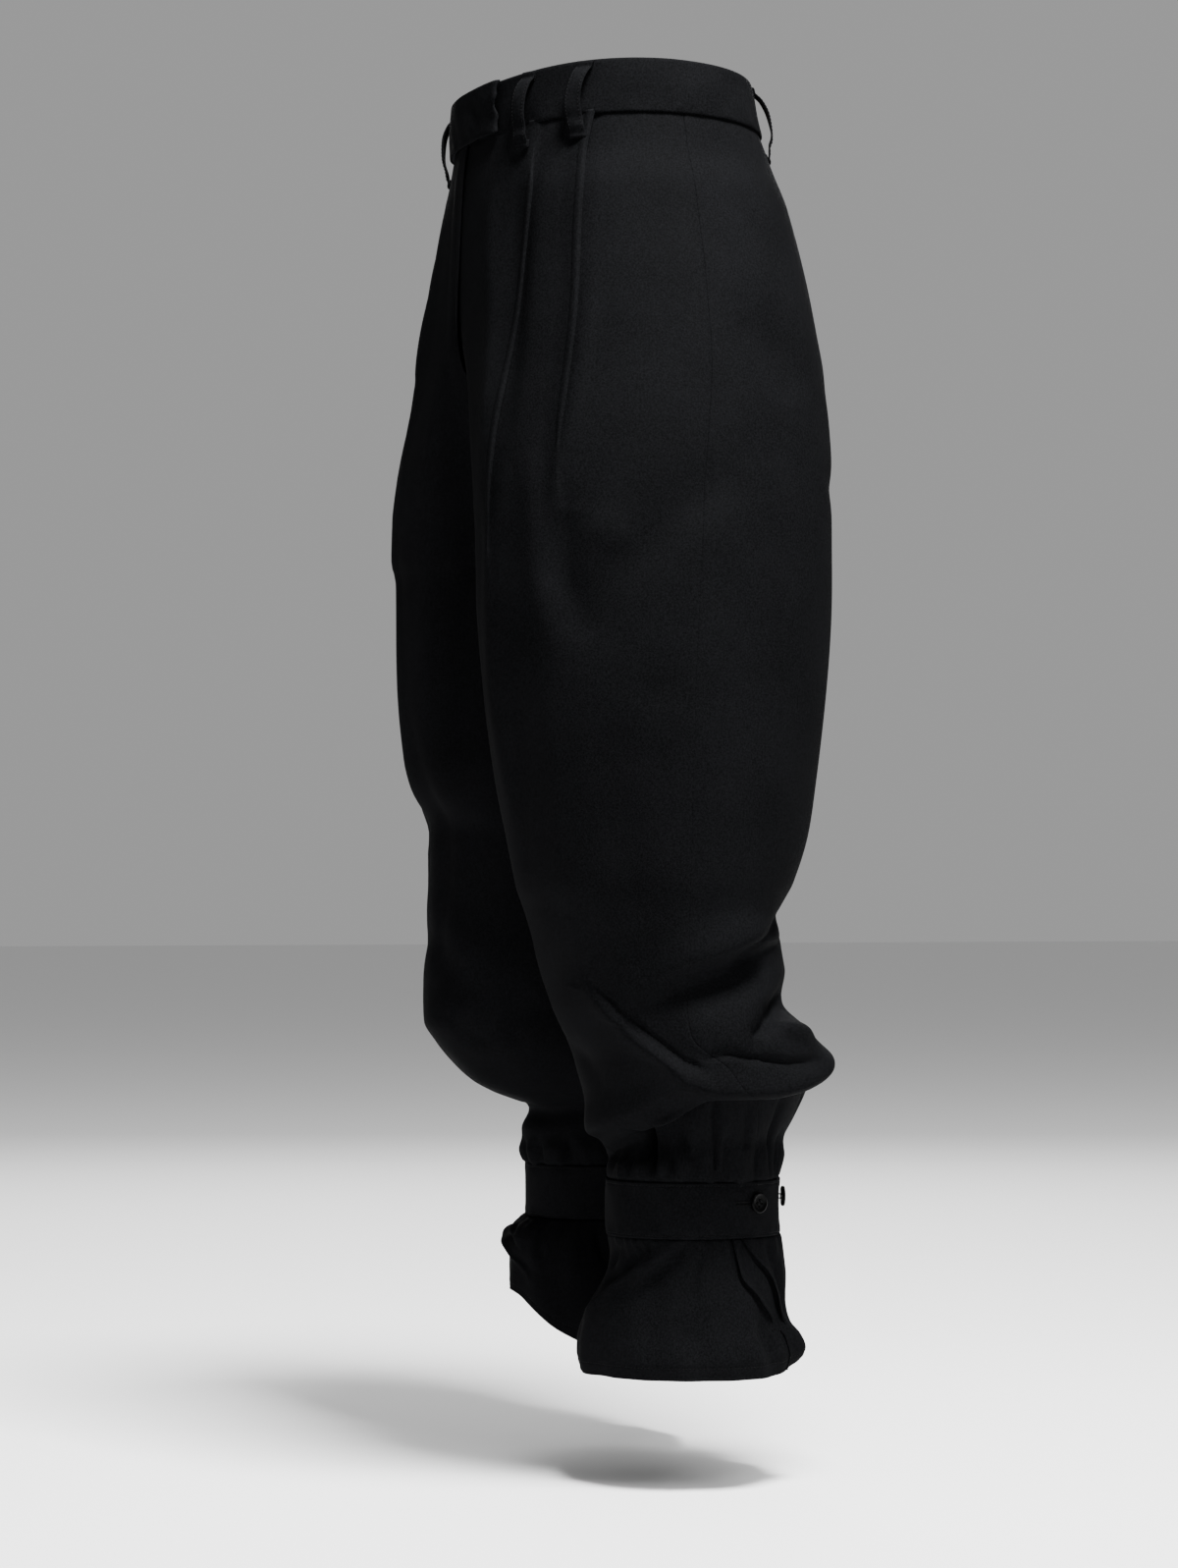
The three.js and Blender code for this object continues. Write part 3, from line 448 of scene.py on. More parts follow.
# A front panel's columns: each has its angle at every row, the height it adds, and whether it lies past the
# middle
def frontPlaces(leg, down):
    laps = leg is rightLeg
    gap = trousers["halfGap"]
    lapping = 1 - smooth(down, trousers["flyLength"] - 14, trousers["flyLength"] + 4)
    edge = np.where(laps, mix(gap, -trousers["flyLap"], lapping), gap)
    slit = np.degrees(gap / leg["reach"]["front"](down))
    columns = []
    fadeToLeg = smooth(down, 262, 330)
    ownSide = np.zeros(down.shape, bool)
    seamColumns = panelCloth["seamColumns"]
    for k in np.linspace(0, 1, 11):
        x = mix(edge, panelCloth["middleWidth"], k)
        byPlane = np.maximum(frontAngle(leg, np.abs(x), down), -180 + slit)
        angle = mix(byPlane, -180 + slit + 12 * k, fadeToLeg)
        columns.append((angle, 0 * down, (x < 0) & (down < trousers["crotch"])))
    perDegree = panelCloth["degreeWidth"]
    side = leg["seam"](down) - slit
    low = columns[-1][0]
    for pleat in knifePleats:
        fold = pleat["angle"](down)
        strength = 1 - smooth(down, *pleat["opens"])
        if pleat is knifePleats[0]:
            strength = strength * mix(0.25, 1, smooth(down, 12, 58))
        high = fold + foldEven[0] / perDegree
        for k in np.linspace(0, 1, pleat["columns"] + 1)[1:-1]:
            columns.append((mix(low, high, k), 0 * down, ownSide))
        speed = clothPerDegree(leg, fold, down)
        for even, (along, rise) in zip(foldEven, foldSection):
            offset = mix(even / perDegree, along / speed, strength)
            columns.append((fold + offset, rise * strength, ownSide))
        low = fold + foldEven[-1] / perDegree
    high = side - seamColumns[-1] / clothPerDegree(leg, side, down)
    for k in np.linspace(0, 1, panelCloth["sideColumns"])[1:-1]:
        columns.append((mix(low, high, k), 0 * down, ownSide))
    for distance in seamColumns[::-1]:
        columns.append((side - distance / clothPerDegree(leg, side, down), 0 * down, ownSide))
    return columns


def backPlaces(leg, down):
    slit = np.degrees(trousers["halfGap"] / leg["reach"]["back"](down))
    side = leg["seam"](down) + slit
    end = 180 - np.maximum(openAngle(leg, down), slit)
    sideSpeed, endSpeed = clothPerDegree(leg, side, down), clothPerDegree(leg, end, down)
    seamColumns = panelCloth["seamColumns"]
    columns = [side + d / sideSpeed for d in seamColumns]
    low, high = columns[-1], end - seamColumns[-1] / endSpeed
    columns += [mix(low, high, k) for k in np.linspace(0, 1, panelCloth["backColumns"])[1:-1]]
    columns += [end - d / endSpeed for d in seamColumns[::-1]]
    return [(angle, 0 * down, np.zeros(down.shape, bool)) for angle in columns]


# Cuff bands: strips that start at the hidden underlap and end in the buttoned lap
cuff = {
    "lap": 51,
    "underlap": 6,
    "layerStep": 1.7,
    "halfWidth": 57.5,
    "halfDepth": 66,
    "wall": 1.6,
    "columns": 300,
}


def cuffLayer(angle):
    inside = -cuff["layerStep"] * (1 - smooth(angle, cuff["lap"] + 4, cuff["lap"] + 44))
    return inside + cuff["layerStep"] * smooth(angle, 320, 362)


# The layer that shows where the band laps itself
def outerCuffLayer(angle):
    wrapped = (angle + 180) % 360 - 180
    return cuffLayer(np.where(wrapped <= cuff["lap"], wrapped + 360, wrapped))


# Where one leg panel's cloth lies, with its folds, gathers and seams
def panelPlace(leg, angle, down, extra, mirrored, front):
    height, sag = foldField(leg["folds"], angle, down)
    phase = 0.0 if leg is leftLeg else 1.9
    height = height + gatherHeight(angle, down) + easeHeight(angle, down, phase) + extra
    place = tubePlace(leg, angle, down)
    normal = tubeNormal(leg, angle, down)
    sewn = (down < trousers["crotch"]) & ~(front & (down < trousers["flyLength"] + 6))
    free = np.where(sewn, smooth(place[..., 0], 0, 18), 1)
    height, sag = height * free, sag * free
    sideSeam = (angle - leg["seam"](down)) * clothPerDegree(leg, angle, down)
    # The inner seam counts below the crotch only, and the middle seam above it, apart from the fly
    farOff = 99
    inside = (180 - np.abs(angle)) * clothPerDegree(leg, angle, down) + farOff * (down < trousers["crotch"])
    seamed = (down < trousers["crotch"]) & ~(front & (down < trousers["flyLength"]))
    centre = np.where(seamed, place[..., 0], farOff)
    pressed = mix(1, 0.25, smooth(down, 240, 420) * (1 - smooth(down, 640, 690)))
    height = height + seamDip(sideSeam) * pressed + seamDip(np.minimum(inside, centre))
    height = np.where(height < 0, height * (1 - 0.9 * smooth(down, 766, 783)), height)
    height = height - 0.2 * (1 - smooth(down, 0, 2))
    height = height - 0.9 * smooth(down, 782, 784) - 0.5 * smooth(down, 784, 787)
    height = height + 0.8 * outerCuffLayer(angle) * smooth(down, 768, 784)
    if front and leg is rightLeg:
        x = np.where(mirrored, -place[..., 0], place[..., 0])
        height = height + trousers["flyLift"] * (1 - smooth(x, 6, 22)) * (1 - smooth(down, 212, 252))
    plainX = place[..., 0]
    place = place + normal * height[..., None]
    place[..., 2] -= sag
    place[..., 0] = mix(plainX, place[..., 0], free)
    gap = trousers["halfGap"]
    place[..., 0] = np.where(mirrored, -np.maximum(place[..., 0], -gap), np.maximum(place[..., 0], gap))
    return place


# A cloth grid: columns across by rows down, moved to its places, with a UV map in metres of cloth
def clothMesh(name, places, mirrored=False):
    rows, columns = places.shape[:2]
    sheet = bmesh.new()
    bmesh.ops.create_grid(sheet, x_segments=columns - 1, y_segments=rows - 1, size=1, calc_uvs=True)
    across = np.linalg.norm(np.diff(places, axis=1), axis=2).mean(axis=0)
    along = np.linalg.norm(np.diff(places, axis=0), axis=2).mean(axis=1)
    clothX = np.concatenate([[0], np.cumsum(across)]) * millimetre
    clothY = -np.concatenate([[0], np.cumsum(along)]) * millimetre
    uvLayer = sheet.loops.layers.uv.verify()
    spots = {}
    for vertex in sheet.verts:
        column = round((vertex.co.x + 1) / 2 * (columns - 1))
        row = round((1 - vertex.co.y) / 2 * (rows - 1))
        spots[vertex.index] = (clothX[column], clothY[row])
        vertex.co = places[row, column] * millimetre
    for face in sheet.faces:
        face.smooth = True
        for corner in face.loops:
            corner[uvLayer].uv = spots[corner.vert.index]
    if mirrored:
        bmesh.ops.reverse_faces(sheet, faces=sheet.faces[:])
    mesh = bpy.data.meshes.new(name)
    sheet.to_mesh(mesh)
    sheet.free()
    return mesh


def addPiece(name, mesh, material, node=None, wall=0):
    piece = addObject(name, mesh)
    mesh.materials.append(material)
    if wall:
        thick = piece.modifiers.new("wall", "SOLIDIFY")
        thick.thickness = wall * millimetre
        thick.offset = -1
    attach(piece, "root")
    if node:
        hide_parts(node)
    return piece


# Materials
def nodeMaker(material):
    tree = material.node_tree

    def make(kind, **settings):
        node = tree.nodes.new(kind)
        for key, value in settings.items():
            if key in node.inputs:
                node.inputs[key].default_value = value
            else:
                setattr(node, key, value)
        return node

    return tree, make


clothLook = {
    "dark": (0.0014, 0.00145, 0.0016, 1),
    "light": (0.0040, 0.0041, 0.0046, 1),
    "roughness": (0.7, 0.88),
    "specular": 0.01,
    "ribsPerMetre": 1700,
    "ribTurn": 27,
    "noises": {"grain": (750, 3), "slow": (16, 5), "pucker": (70, 2)},
    "slowShare": 0.25,
    "bumps": {"ribs": (0.35, 0.00012), "grain": (0.3, 0.0002), "pucker": (0.35, 0.0006)},
}


# Close twill: diagonal ribs on the cloth's own UV map, yarn grain, and slow changes of tone and shine
def makeCloth(name):
    material = bpy.data.materials.new(name)
    material.use_nodes = True
    tree, make = nodeMaker(material)
    link = tree.links.new
    shader = tree.nodes["Principled BSDF"]
    cloth = make("ShaderNodeTexCoord")
    turned = make("ShaderNodeMapping", Rotation=(0, 0, math.radians(clothLook["ribTurn"])))
    link(cloth.outputs["UV"], turned.inputs["Vector"])
    ribs = make("ShaderNodeTexWave", wave_type="BANDS", bands_direction="X", wave_profile="SIN",
                Scale=clothLook["ribsPerMetre"] * math.pi / 10, Distortion=1.2, **{"Detail Scale": 3})
    link(turned.outputs["Vector"], ribs.inputs["Vector"])
    patterns = {"ribs": ribs}
    for noise, (scale, detail) in clothLook["noises"].items():
        patterns[noise] = make("ShaderNodeTexNoise", Scale=scale, Detail=detail)
        link(cloth.outputs["Object"], patterns[noise].inputs["Vector"])
    tone = make("ShaderNodeMix", data_type="FLOAT", Factor=clothLook["slowShare"])
    link(patterns["grain"].outputs["Fac"], tone.inputs["A"])
    link(patterns["slow"].outputs["Fac"], tone.inputs["B"])
    colour = make("ShaderNodeValToRGB")
    for stop, (at, shade) in zip(colour.color_ramp.elements, ((0.35, "dark"), (0.67, "light"))):
        stop.position, stop.color = at, clothLook[shade]
    link(tone.outputs["Result"], colour.inputs["Fac"])
    link(colour.outputs["Color"], shader.inputs["Base Color"])
    smoothest, roughest = clothLook["roughness"]
    ranges = {"From Min": 0.3, "From Max": 0.7, "To Min": smoothest, "To Max": roughest}
    shine = make("ShaderNodeMapRange", **ranges)
    link(tone.outputs["Result"], shine.inputs["Value"])
    link(shine.outputs["Result"], shader.inputs["Roughness"])
    shader.inputs["Specular IOR Level"].default_value = clothLook["specular"]
    normal = None
    for pattern, (strength, height) in clothLook["bumps"].items():
        bump = make("ShaderNodeBump", Strength=strength, Distance=height)
        link(patterns[pattern].outputs["Fac"], bump.inputs["Height"])
        if normal:
            link(normal, bump.inputs["Normal"])
        normal = bump.outputs["Normal"]
    link(normal, shader.inputs["Normal"])
    return material


# A smooth hard finish with faint wear: polished button, spun thread or plated steel
def makeHard(name, base, roughness, metallic=0.0, specular=0.5, grainScale=240):
    material = bpy.data.materials.new(name)
    material.use_nodes = True
    tree, make = nodeMaker(material)
    link = tree.links.new
    shader = tree.nodes["Principled BSDF"]
    place = make("ShaderNodeTexCoord")
    grain = make("ShaderNodeTexNoise", Scale=grainScale)
    link(place.outputs["Object"], grain.inputs["Vector"])
    colour = make("ShaderNodeValToRGB")
    for stop, share in zip(colour.color_ramp.elements, (0.8, 1.2)):
        stop.color = tuple(share * c for c in base) + (1,)
    link(grain.outputs["Fac"], colour.inputs["Fac"])
    link(colour.outputs["Color"], shader.inputs["Base Color"])
    wear = make("ShaderNodeMapRange", **{"To Min": 0.8 * roughness, "To Max": 1.3 * roughness})
    link(grain.outputs["Fac"], wear.inputs["Value"])
    link(wear.outputs["Result"], shader.inputs["Roughness"])
    shader.inputs["Metallic"].default_value = metallic
    shader.inputs["Specular IOR Level"].default_value = specular
    bump = make("ShaderNodeBump", Strength=0.15, Distance=0.0001)
    link(grain.outputs["Fac"], bump.inputs["Height"])
    link(bump.outputs["Normal"], shader.inputs["Normal"])
    return material


twill = makeCloth("blackTwill")
threadBlack = makeHard("blackThread", (0.0018, 0.0018, 0.002), 0.6, specular=0.06, grainScale=1500)
buttonBlack = makeHard("polishedButton", (0.0012, 0.0012, 0.0013), 0.2, specular=0.025)
platedSteel = makeHard("platedSteel", (0.62, 0.62, 0.64), 0.22, metallic=1.0)
print("materials made")


# Leg panels
def makePanel(leg, front):
    down = panelCloth["rows"]
    columns = (frontPlaces if front else backPlaces)(leg, down)
    angle = np.stack([c[0] for c in columns], axis=1)
    extra = np.stack([c[1] for c in columns], axis=1)
    mirrored = np.stack([c[2] for c in columns], axis=1)
    deep = np.repeat(down[:, None], angle.shape[1], axis=1)
    places = panelPlace(leg, angle, deep, extra, mirrored, front)
    places[..., 0] *= leg["side"]
    node = ("front_" if front else "back_") + leg["name"]
    mesh = clothMesh(node + "_cloth", places, leg["side"] < 0)
    return addPiece(node + "_cloth", mesh, twill, node, panelCloth["wall"])


panels = {}
for leg in (leftLeg, rightLeg):
    for front in (True, False):
        panel = makePanel(leg, front)
        panels[panel.name] = panel
print("leg panels made")


# Points and outward directions of a surface whose two numbers are an angle and a distance down
def placesAndNormals(surface, angle, down):
    across = surface(angle + 0.4, down) - surface(angle - 0.4, down)
    fall = surface(angle, down + 0.4) - surface(angle, down - 0.4)
    return surface(angle, down), normalise(np.cross(fall, across))


def mirrorX(vectors, leg):
    return vectors * np.array([leg["side"], 1, 1])


# Waistband: one strip from the underlap, round the back, to the tab in front
band = {
    "underlapEnd": -100,
    "tabEnd": 292,
    "layerStep": 1.9,
    "tabLift": 1.6,
    "wall": 1.6,
    "columns": 340,
    "heights": np.concatenate([
        [40.2, 40.0, 39.4, 38.4, 37, 35], np.linspace(32.5, 5.5, 12), [4, 2.8, 1.8, 1.0, 0.5, 0.25],
    ]),
}


def bandLayer(angle):
    under = -band["layerStep"] * (1 - smooth(angle, -66, -36))
    over = band["layerStep"] * smooth(angle, 212, 250)
    return under + over + band["tabLift"] * smooth(angle, band["tabEnd"] - 20, band["tabEnd"])


def bandPlace(angle, height, offset=0.0):
    turn = np.radians(angle)
    lean = (8 * np.maximum(0, np.sin(turn)) + 3 * np.abs(np.cos(turn))) * np.clip(height / 40, 0, 2) ** 1.2
    reach = offset + 0.8 - lean
    return np.stack([
        (trousers["waistHalfWidth"] + reach) * np.cos(turn),
        (trousers["waistHalfDepth"] + reach) * np.sin(turn),
        height + seamLift(angle),
    ], axis=-1)


# The outer face, with rolled edges and the soft dents of a worn band
def bandSurface(angle, down):
    height = -down
    arc = np.radians(angle) * 128
    swell = 0.55 * np.sin(arc / 29 + height / 17) + 0.4 * np.sin(arc / 12 - height / 11 + 1)
    centre = np.sin(np.pi * np.clip(height / trousers["bandHeight"], 0, 1))
    pull = 0.3 * np.sin(arc / 4.2 + 2 * np.sin(arc / 23)) * np.exp(-(((height - 4) / 4) ** 2))
    tab = smooth(angle, 250, 285)
    crumple = tab * (0.9 * np.sin(height / 5.2 + arc / 9) + 0.5 * np.sin(arc / 3.4 + height / 8))
    fromTop = trousers["bandHeight"] + 0.2 - height
    roll = -1.1 * np.exp(-fromTop / 0.5) - 0.6 * np.exp(-(height - 0.25) / 0.6)
    ends = np.minimum(angle - band["underlapEnd"], band["tabEnd"] - angle)
    offset = bandLayer(angle) + 1.1 + roll + pull + (swell + crumple) * centre - 0.7 * np.exp(-ends / 0.5)
    return bandPlace(angle, height, offset)


def makeBand():
    angles = np.linspace(band["underlapEnd"], band["tabEnd"], band["columns"])
    angle, height = np.meshgrid(angles, band["heights"])
    waver = 0.5 * np.sin(height / 4.6) + 0.35 * np.sin(height / 2.1 + 1)
    angle = angle + waver * smooth(angle, 282, band["tabEnd"])
    mesh = clothMesh("waistband_cloth", bandSurface(angle, -height))
    return addPiece("waistband_cloth", mesh, twill, "waistband", band["wall"])


waistband = makeBand()
print("waistband made")


# Belt loops: doubled straps sewn down at both ends, arched clear of the band. Their path is given as the
# distance out from what lies beneath and the height over the seam.
beltLoop = {
    "width": 13,
    "wall": 1.0,
    "path": [
        (0.8, 33), (0.8, 38.2), (1.1, 39), (1.6, 39), (2.0, 38), (2.2, 34.5), (5.6, 30), (8.4, 21), (8.8, 9),
        (7.8, 1), (4.6, -9), (2.3, -14), (2.0, -16.6), (1.6, -17.6), (1.1, -17.6), (0.8, -16.6), (0.8, -12),
    ],
    "rows": 90,
}
beltLoops = [
    {"node": "belt_loop_front_left_inner", "angle": -55, "sway": -2.5, "top": 2.0, "twist": 0.5},
    {"node": "belt_loop_front_left_outer", "angle": -34, "sway": -4.5, "top": 3.5, "twist": -1.3},
    {"node": "belt_loop_back_left", "angle": 65, "sway": 1.5, "top": 1.0, "twist": 0.6},
    {"node": "belt_loop_front_right_inner", "angle": 235, "sway": 2.5, "top": -1.5, "twist": -0.4},
    {"node": "belt_loop_front_right_outer", "angle": 214, "sway": 3.0, "top": -2.0, "twist": 1.0},
    {"node": "belt_loop_back_right", "angle": 115, "sway": -1.5, "top": 0.5, "twist": -0.6},
]


# Even steps along a smooth line through points
def splineThrough(points, count):
    points = np.array(points, float)
    ends = np.concatenate([[2 * points[0] - points[1]], points, [2 * points[-1] - points[-2]]])
    spans = []
    for a, b, c, d in zip(ends, ends[1:], ends[2:], ends[3:]):
        t = np.linspace(0, 1, 24, endpoint=False)[:, None]
        curve, twist = 2 * a - 5 * b + 4 * c - d, 3 * b - a - 3 * c + d
        spans.append(0.5 * (2 * b + (c - a) * t + curve * t**2 + twist * t**3))
    line = np.concatenate(spans + [points[-1:]])
    run = np.concatenate([[0], np.cumsum(np.linalg.norm(np.diff(line, axis=0), axis=1))])
    even = np.linspace(0, run[-1], count)
    return np.stack([np.interp(even, run, line[:, k]) for k in range(line.shape[1])], axis=1)


# How far the cloth below the waist seam lies out from the waist ellipse
def clothOut(angle, down):
    folded = (angle if math.cos(math.radians(angle)) >= 0 else 180 - angle) + np.array([-3.0, 0, 3.0])
    leg = leftLeg if math.cos(math.radians(angle)) >= 0 else rightLeg
    deep = np.full(3, down)
    places = mirrorX(panelPlace(leg, folded, deep, 0 * deep, np.zeros(3, bool), True), leg)
    facing = bandFacing(angle)
    pleat = 2.2 if -60 < folded[1] < -25 else 0
    return float(np.max((places - bandPlace(np.array([angle]), 0.0)) @ facing)) + pleat


def bandFacing(angle):
    turn = math.radians(angle)
    halfWidth, halfDepth = trousers["waistHalfWidth"], trousers["waistHalfDepth"]
    flat = np.array([math.cos(turn) / halfWidth, math.sin(turn) / halfDepth, 0])
    return flat / np.linalg.norm(flat)


def strapPlaces(strap, spread):
    facing = bandFacing(strap["angle"])
    across = np.array([-facing[1], facing[0], 0])
    path = splineThrough(beltLoop["path"], beltLoop["rows"])
    step = np.gradient(path, axis=0)
    step /= np.linalg.norm(step, axis=1, keepdims=True)
    rows, fronts = [], []
    at = np.array([float(strap["angle"])])
    base = bandPlace(at, 0.0)[0]
    onBand = float(bandLayer(np.float64(strap["angle"]))) + 1.1
    for (out, height), (stepOut, stepUp) in zip(path, step):
        lean = (bandPlace(at, max(0.0, height))[0] - base) @ facing
        below = float(smooth(-height, 0, 9))
        beneath = mix(onBand, clothOut(strap["angle"], -height), below) if below else onBand
        share = np.clip((height + 15) / 54, 0, 1)
        shift = strap["sway"] * math.sin(math.pi * share) + strap["top"] * share**2
        centre = base + facing * (beneath + lean + out) + across * shift
        centre[2] = height + float(seamLift(np.float64(strap["angle"])))
        normal = -facing * stepUp + np.array([0, 0, stepOut])
        twist = strap["twist"] * math.sin(2 * math.pi * share) * math.sin(math.pi * share)
        rows.append([centre + across * w + facing * (twist * w / 6.5 - 0.012 * w * w) for w in spread])
        fronts.append(normal)
    return np.array(rows), np.array(fronts)


def makeStrap(strap):
    half = beltLoop["width"] / 2
    places, fronts = strapPlaces(strap, np.linspace(-half, half, 11))
    places = places + fronts[:, None, :] * beltLoop["wall"] / 2
    name = strap["node"] + "_strap"
    return addPiece(name, clothMesh(name, places), twill, strap["node"], beltLoop["wall"])


straps = [makeStrap(strap) for strap in beltLoops]
print("belt loops made")


# Cuff bands
cuffEdges = (trousers["cuffTop"] + 0.15, trousers["cuffBottom"] - 0.15)


def cuffPlace(angle, down, offset):
    turn = np.radians(angle)
    centreX, centreY = trousers["ankleCentre"]
    x = centreX + (cuff["halfWidth"] + offset) * np.cos(turn)
    y = centreY + (cuff["halfDepth"] + offset) * np.sin(turn)
    return np.stack([x, y, -down], axis=-1)


def cuffSurface(angle, down):
    top, bottom = cuffEdges
    fromEdge = np.minimum(down - top, bottom - down)
    arc = np.radians(angle) * 62
    roll = -1.0 * np.exp(-fromEdge / 0.45) - 0.35 * np.exp(-(((fromEdge - 2.6) / 0.7) ** 2))
    pull = 0.4 * np.sin(arc / 3.4 + 1.7 * np.sin(arc / 17)) * np.exp(-(((fromEdge - 3) / 4.5) ** 2))
    swell = 0.6 * np.sin(arc / 19 + down / 21) + 0.4 * np.sin(arc / 8 - down / 13)
    swell = swell * np.clip(fromEdge / 8, 0, 1)
    ends = np.minimum(angle - cuff["underlap"], 360 + cuff["lap"] - angle)
    return cuffPlace(angle, down, cuffLayer(angle) + 1.1 + roll + pull + swell - 0.7 * np.exp(-ends / 0.7))


def makeCuff(leg):
    top, bottom = cuffEdges
    edge = np.array([0, 0.15, 0.5, 1.1, 1.8, 2.4, 3.2])
    downs = np.concatenate([top + edge, np.linspace(top + 4.6, bottom - 4.6, 12), bottom - edge[::-1]])
    angle, down = np.meshgrid(np.linspace(cuff["underlap"], 360 + cuff["lap"], cuff["columns"]), downs)
    name = "cuff_" + leg["name"]
    mesh = clothMesh(name + "_cloth", mirrorX(cuffSurface(angle, down), leg), leg["side"] < 0)
    return addPiece(name + "_cloth", mesh, twill, name, cuff["wall"])


cuffs = [makeCuff(leg) for leg in (leftLeg, rightLeg)]
print("cuffs made")


# Flounces: flared strips with a slit behind the button, two folded tucks and loose waves
leftLeg["flounce"] = [
    (826, 57.5, 64, 66), (840, 62, 61.5, 67.5), (855, 66.5, 64, 68.5), (868, 70, 70, 67.5),
    (880, 72.5, 77, 66), (892, 75, 82, 67), (905, 78, 85.5, 73), (916, 79.5, 86, 76), (927, 78, 83, 72),
]
rightLeg["flounce"] = [
    (826, 57.5, 66, 66), (831, 59, 71.5, 66.4), (840, 62, 78.5, 67), (852, 66, 82, 68.5), (867, 70, 81, 68),
    (884, 74, 78, 68), (905, 78, 78, 73), (916, 79.5, 78, 76), (927, 79, 77, 72),
]
leftLeg["hemRise"], rightLeg["hemRise"] = 0, 44
flounce = {
    "start": 24,
    "layerStep": 1.3,
    "slit": curveThrough([(826, 51), (927, 60)]),
    "tucks": [
        {
            "angle": curveThrough([(826, 366), (853, 368), (870, 380), (888, 392), (927, 398)]),
            "opens": (874, 898),
            "columns": 230,
        },
        {
            "angle": curveThrough([(826, 373), (838, 378), (860, 395), (880, 403), (927, 408)]),
            "opens": (878, 902),
            "columns": 3,
        },
    ],
    "hemCorner": (72, 24, 12),
    "hemFront": (-85, 45, 75),
    "ridges": [
        (-150, 5, 15), (-118, 4, 13), (-92, 5, 15), (-58, 3.5, 13), (-31, 3.5, 11), (12, 3.5, 13),
        (62, 6, 14), (96, 4.5, 13), (128, 5, 15), (160, 4.5, 13),
    ],
    "folds": [
        ([(-24, 828), (-44, 848), (-62, 866)], -5, 4, 8, 0.7, 0),
        ([(-30, 828), (-55, 846), (-78, 862), (-108, 892)], 4.5, 6, 8, 0.3, 0),
        ([(-50, 828), (-70, 843), (-100, 862)], -5, 5, 7, 0.6, 0),
        ([(-12, 829), (-20, 848), (-22, 872)], -2.5, 5, 5, 0.4, 0),
        ([(-78, 828), (-96, 848)], -3.5, 5, 5, 0.6, 0),
        ([(-30, 880), (-22, 905)], -2.5, 13, 13, 0, 0),
        ([(44, 890), (54, 908), (60, 924)], 5, 13, 13, 0, 0),
        ([(22, 884), (30, 922)], -3.5, 11, 11, 0.1, 0),
        ([(34, 828), (44, 850), (52, 884)], -5, 9, 9, 0.2, 0),
        ([(90, 828), (84, 868)], -3, 6, 6, 0.5, 0),
        ([(112, 828), (118, 862)], -3.5, 6, 6, 0.5, 0),
        ([(140, 828), (134, 860)], -3, 6, 6, 0.5, 0),
        ([(170, 828), (172, 868)], -3.5, 6, 6, 0.5, 0),
        ([(205, 828), (198, 862)], -3, 6, 6, 0.5, 0),
        ([(236, 828), (240, 866)], -3.5, 6, 6, 0.5, 0),
    ],
    "tuckSection": [
        (-6, 0), (-3, -0.6), (-0.4, -1.1), (2, -1.1), (4, -0.7), (5, 0.6), (4, 1.6), (1.5, 2.0), (0, 2.3),
        (-0.4, 2.7), (-0.2, 3.2), (0.8, 3.4), (3, 2.8), (6, 1.8), (9, 0.7), (12, 0),
    ],
    "tuckGrows": (826, 850),
    "rows": np.concatenate([
        [824.6, 826.15, 826.7, 827.6], np.linspace(829, 915.5, 58),
        [917, 918, 919, 921, 923.5, 925.5, 926.5, 927],
    ]),
    "wall": 1.0,
    "degreesPerMillimetre": 0.8,
    "hemStitch": 9,
}
for leg in (leftLeg, rightLeg):
    leg["flounceReach"] = [curveThrough(leg["flounce"], k) for k in (1, 2, 3)]


def flouncePlace(leg, angle, down):
    half, front, back = (reach(down) for reach in leg["flounceReach"])
    turn = np.radians(angle)
    fall = np.maximum(0, (down - trousers["cuffBottom"]) / (trousers["hem"] - trousers["cuffBottom"]))
    deep = np.where(np.sin(turn) > 0, back, front)
    wrapped = (angle + 180) % 360 - 180
    height = np.full_like(down, -2.5)
    for middle, rise, width in flounce["ridges"]:
        height = height + rise * np.exp(-(((wrapped - middle) / width) ** 2))
    swell = height * smooth(fall, 0, 0.8)
    cornerAngle, cornerWidth, cornerRise = flounce["hemCorner"]
    frontAt, inner, outer = flounce["hemFront"]
    beside = wrapped - frontAt
    rise = leg["hemRise"] * np.exp(-((beside / np.where(beside < 0, inner, outer)) ** 2)) * fall
    rise = rise + cornerRise * np.exp(-(((wrapped - cornerAngle) / cornerWidth) ** 2)) * fall**3
    centreX, centreY = trousers["ankleCentre"]
    x, y = centreX + (half + swell) * np.cos(turn), centreY + (deep + swell) * np.sin(turn)
    return np.stack([x, y, rise - down], axis=-1)


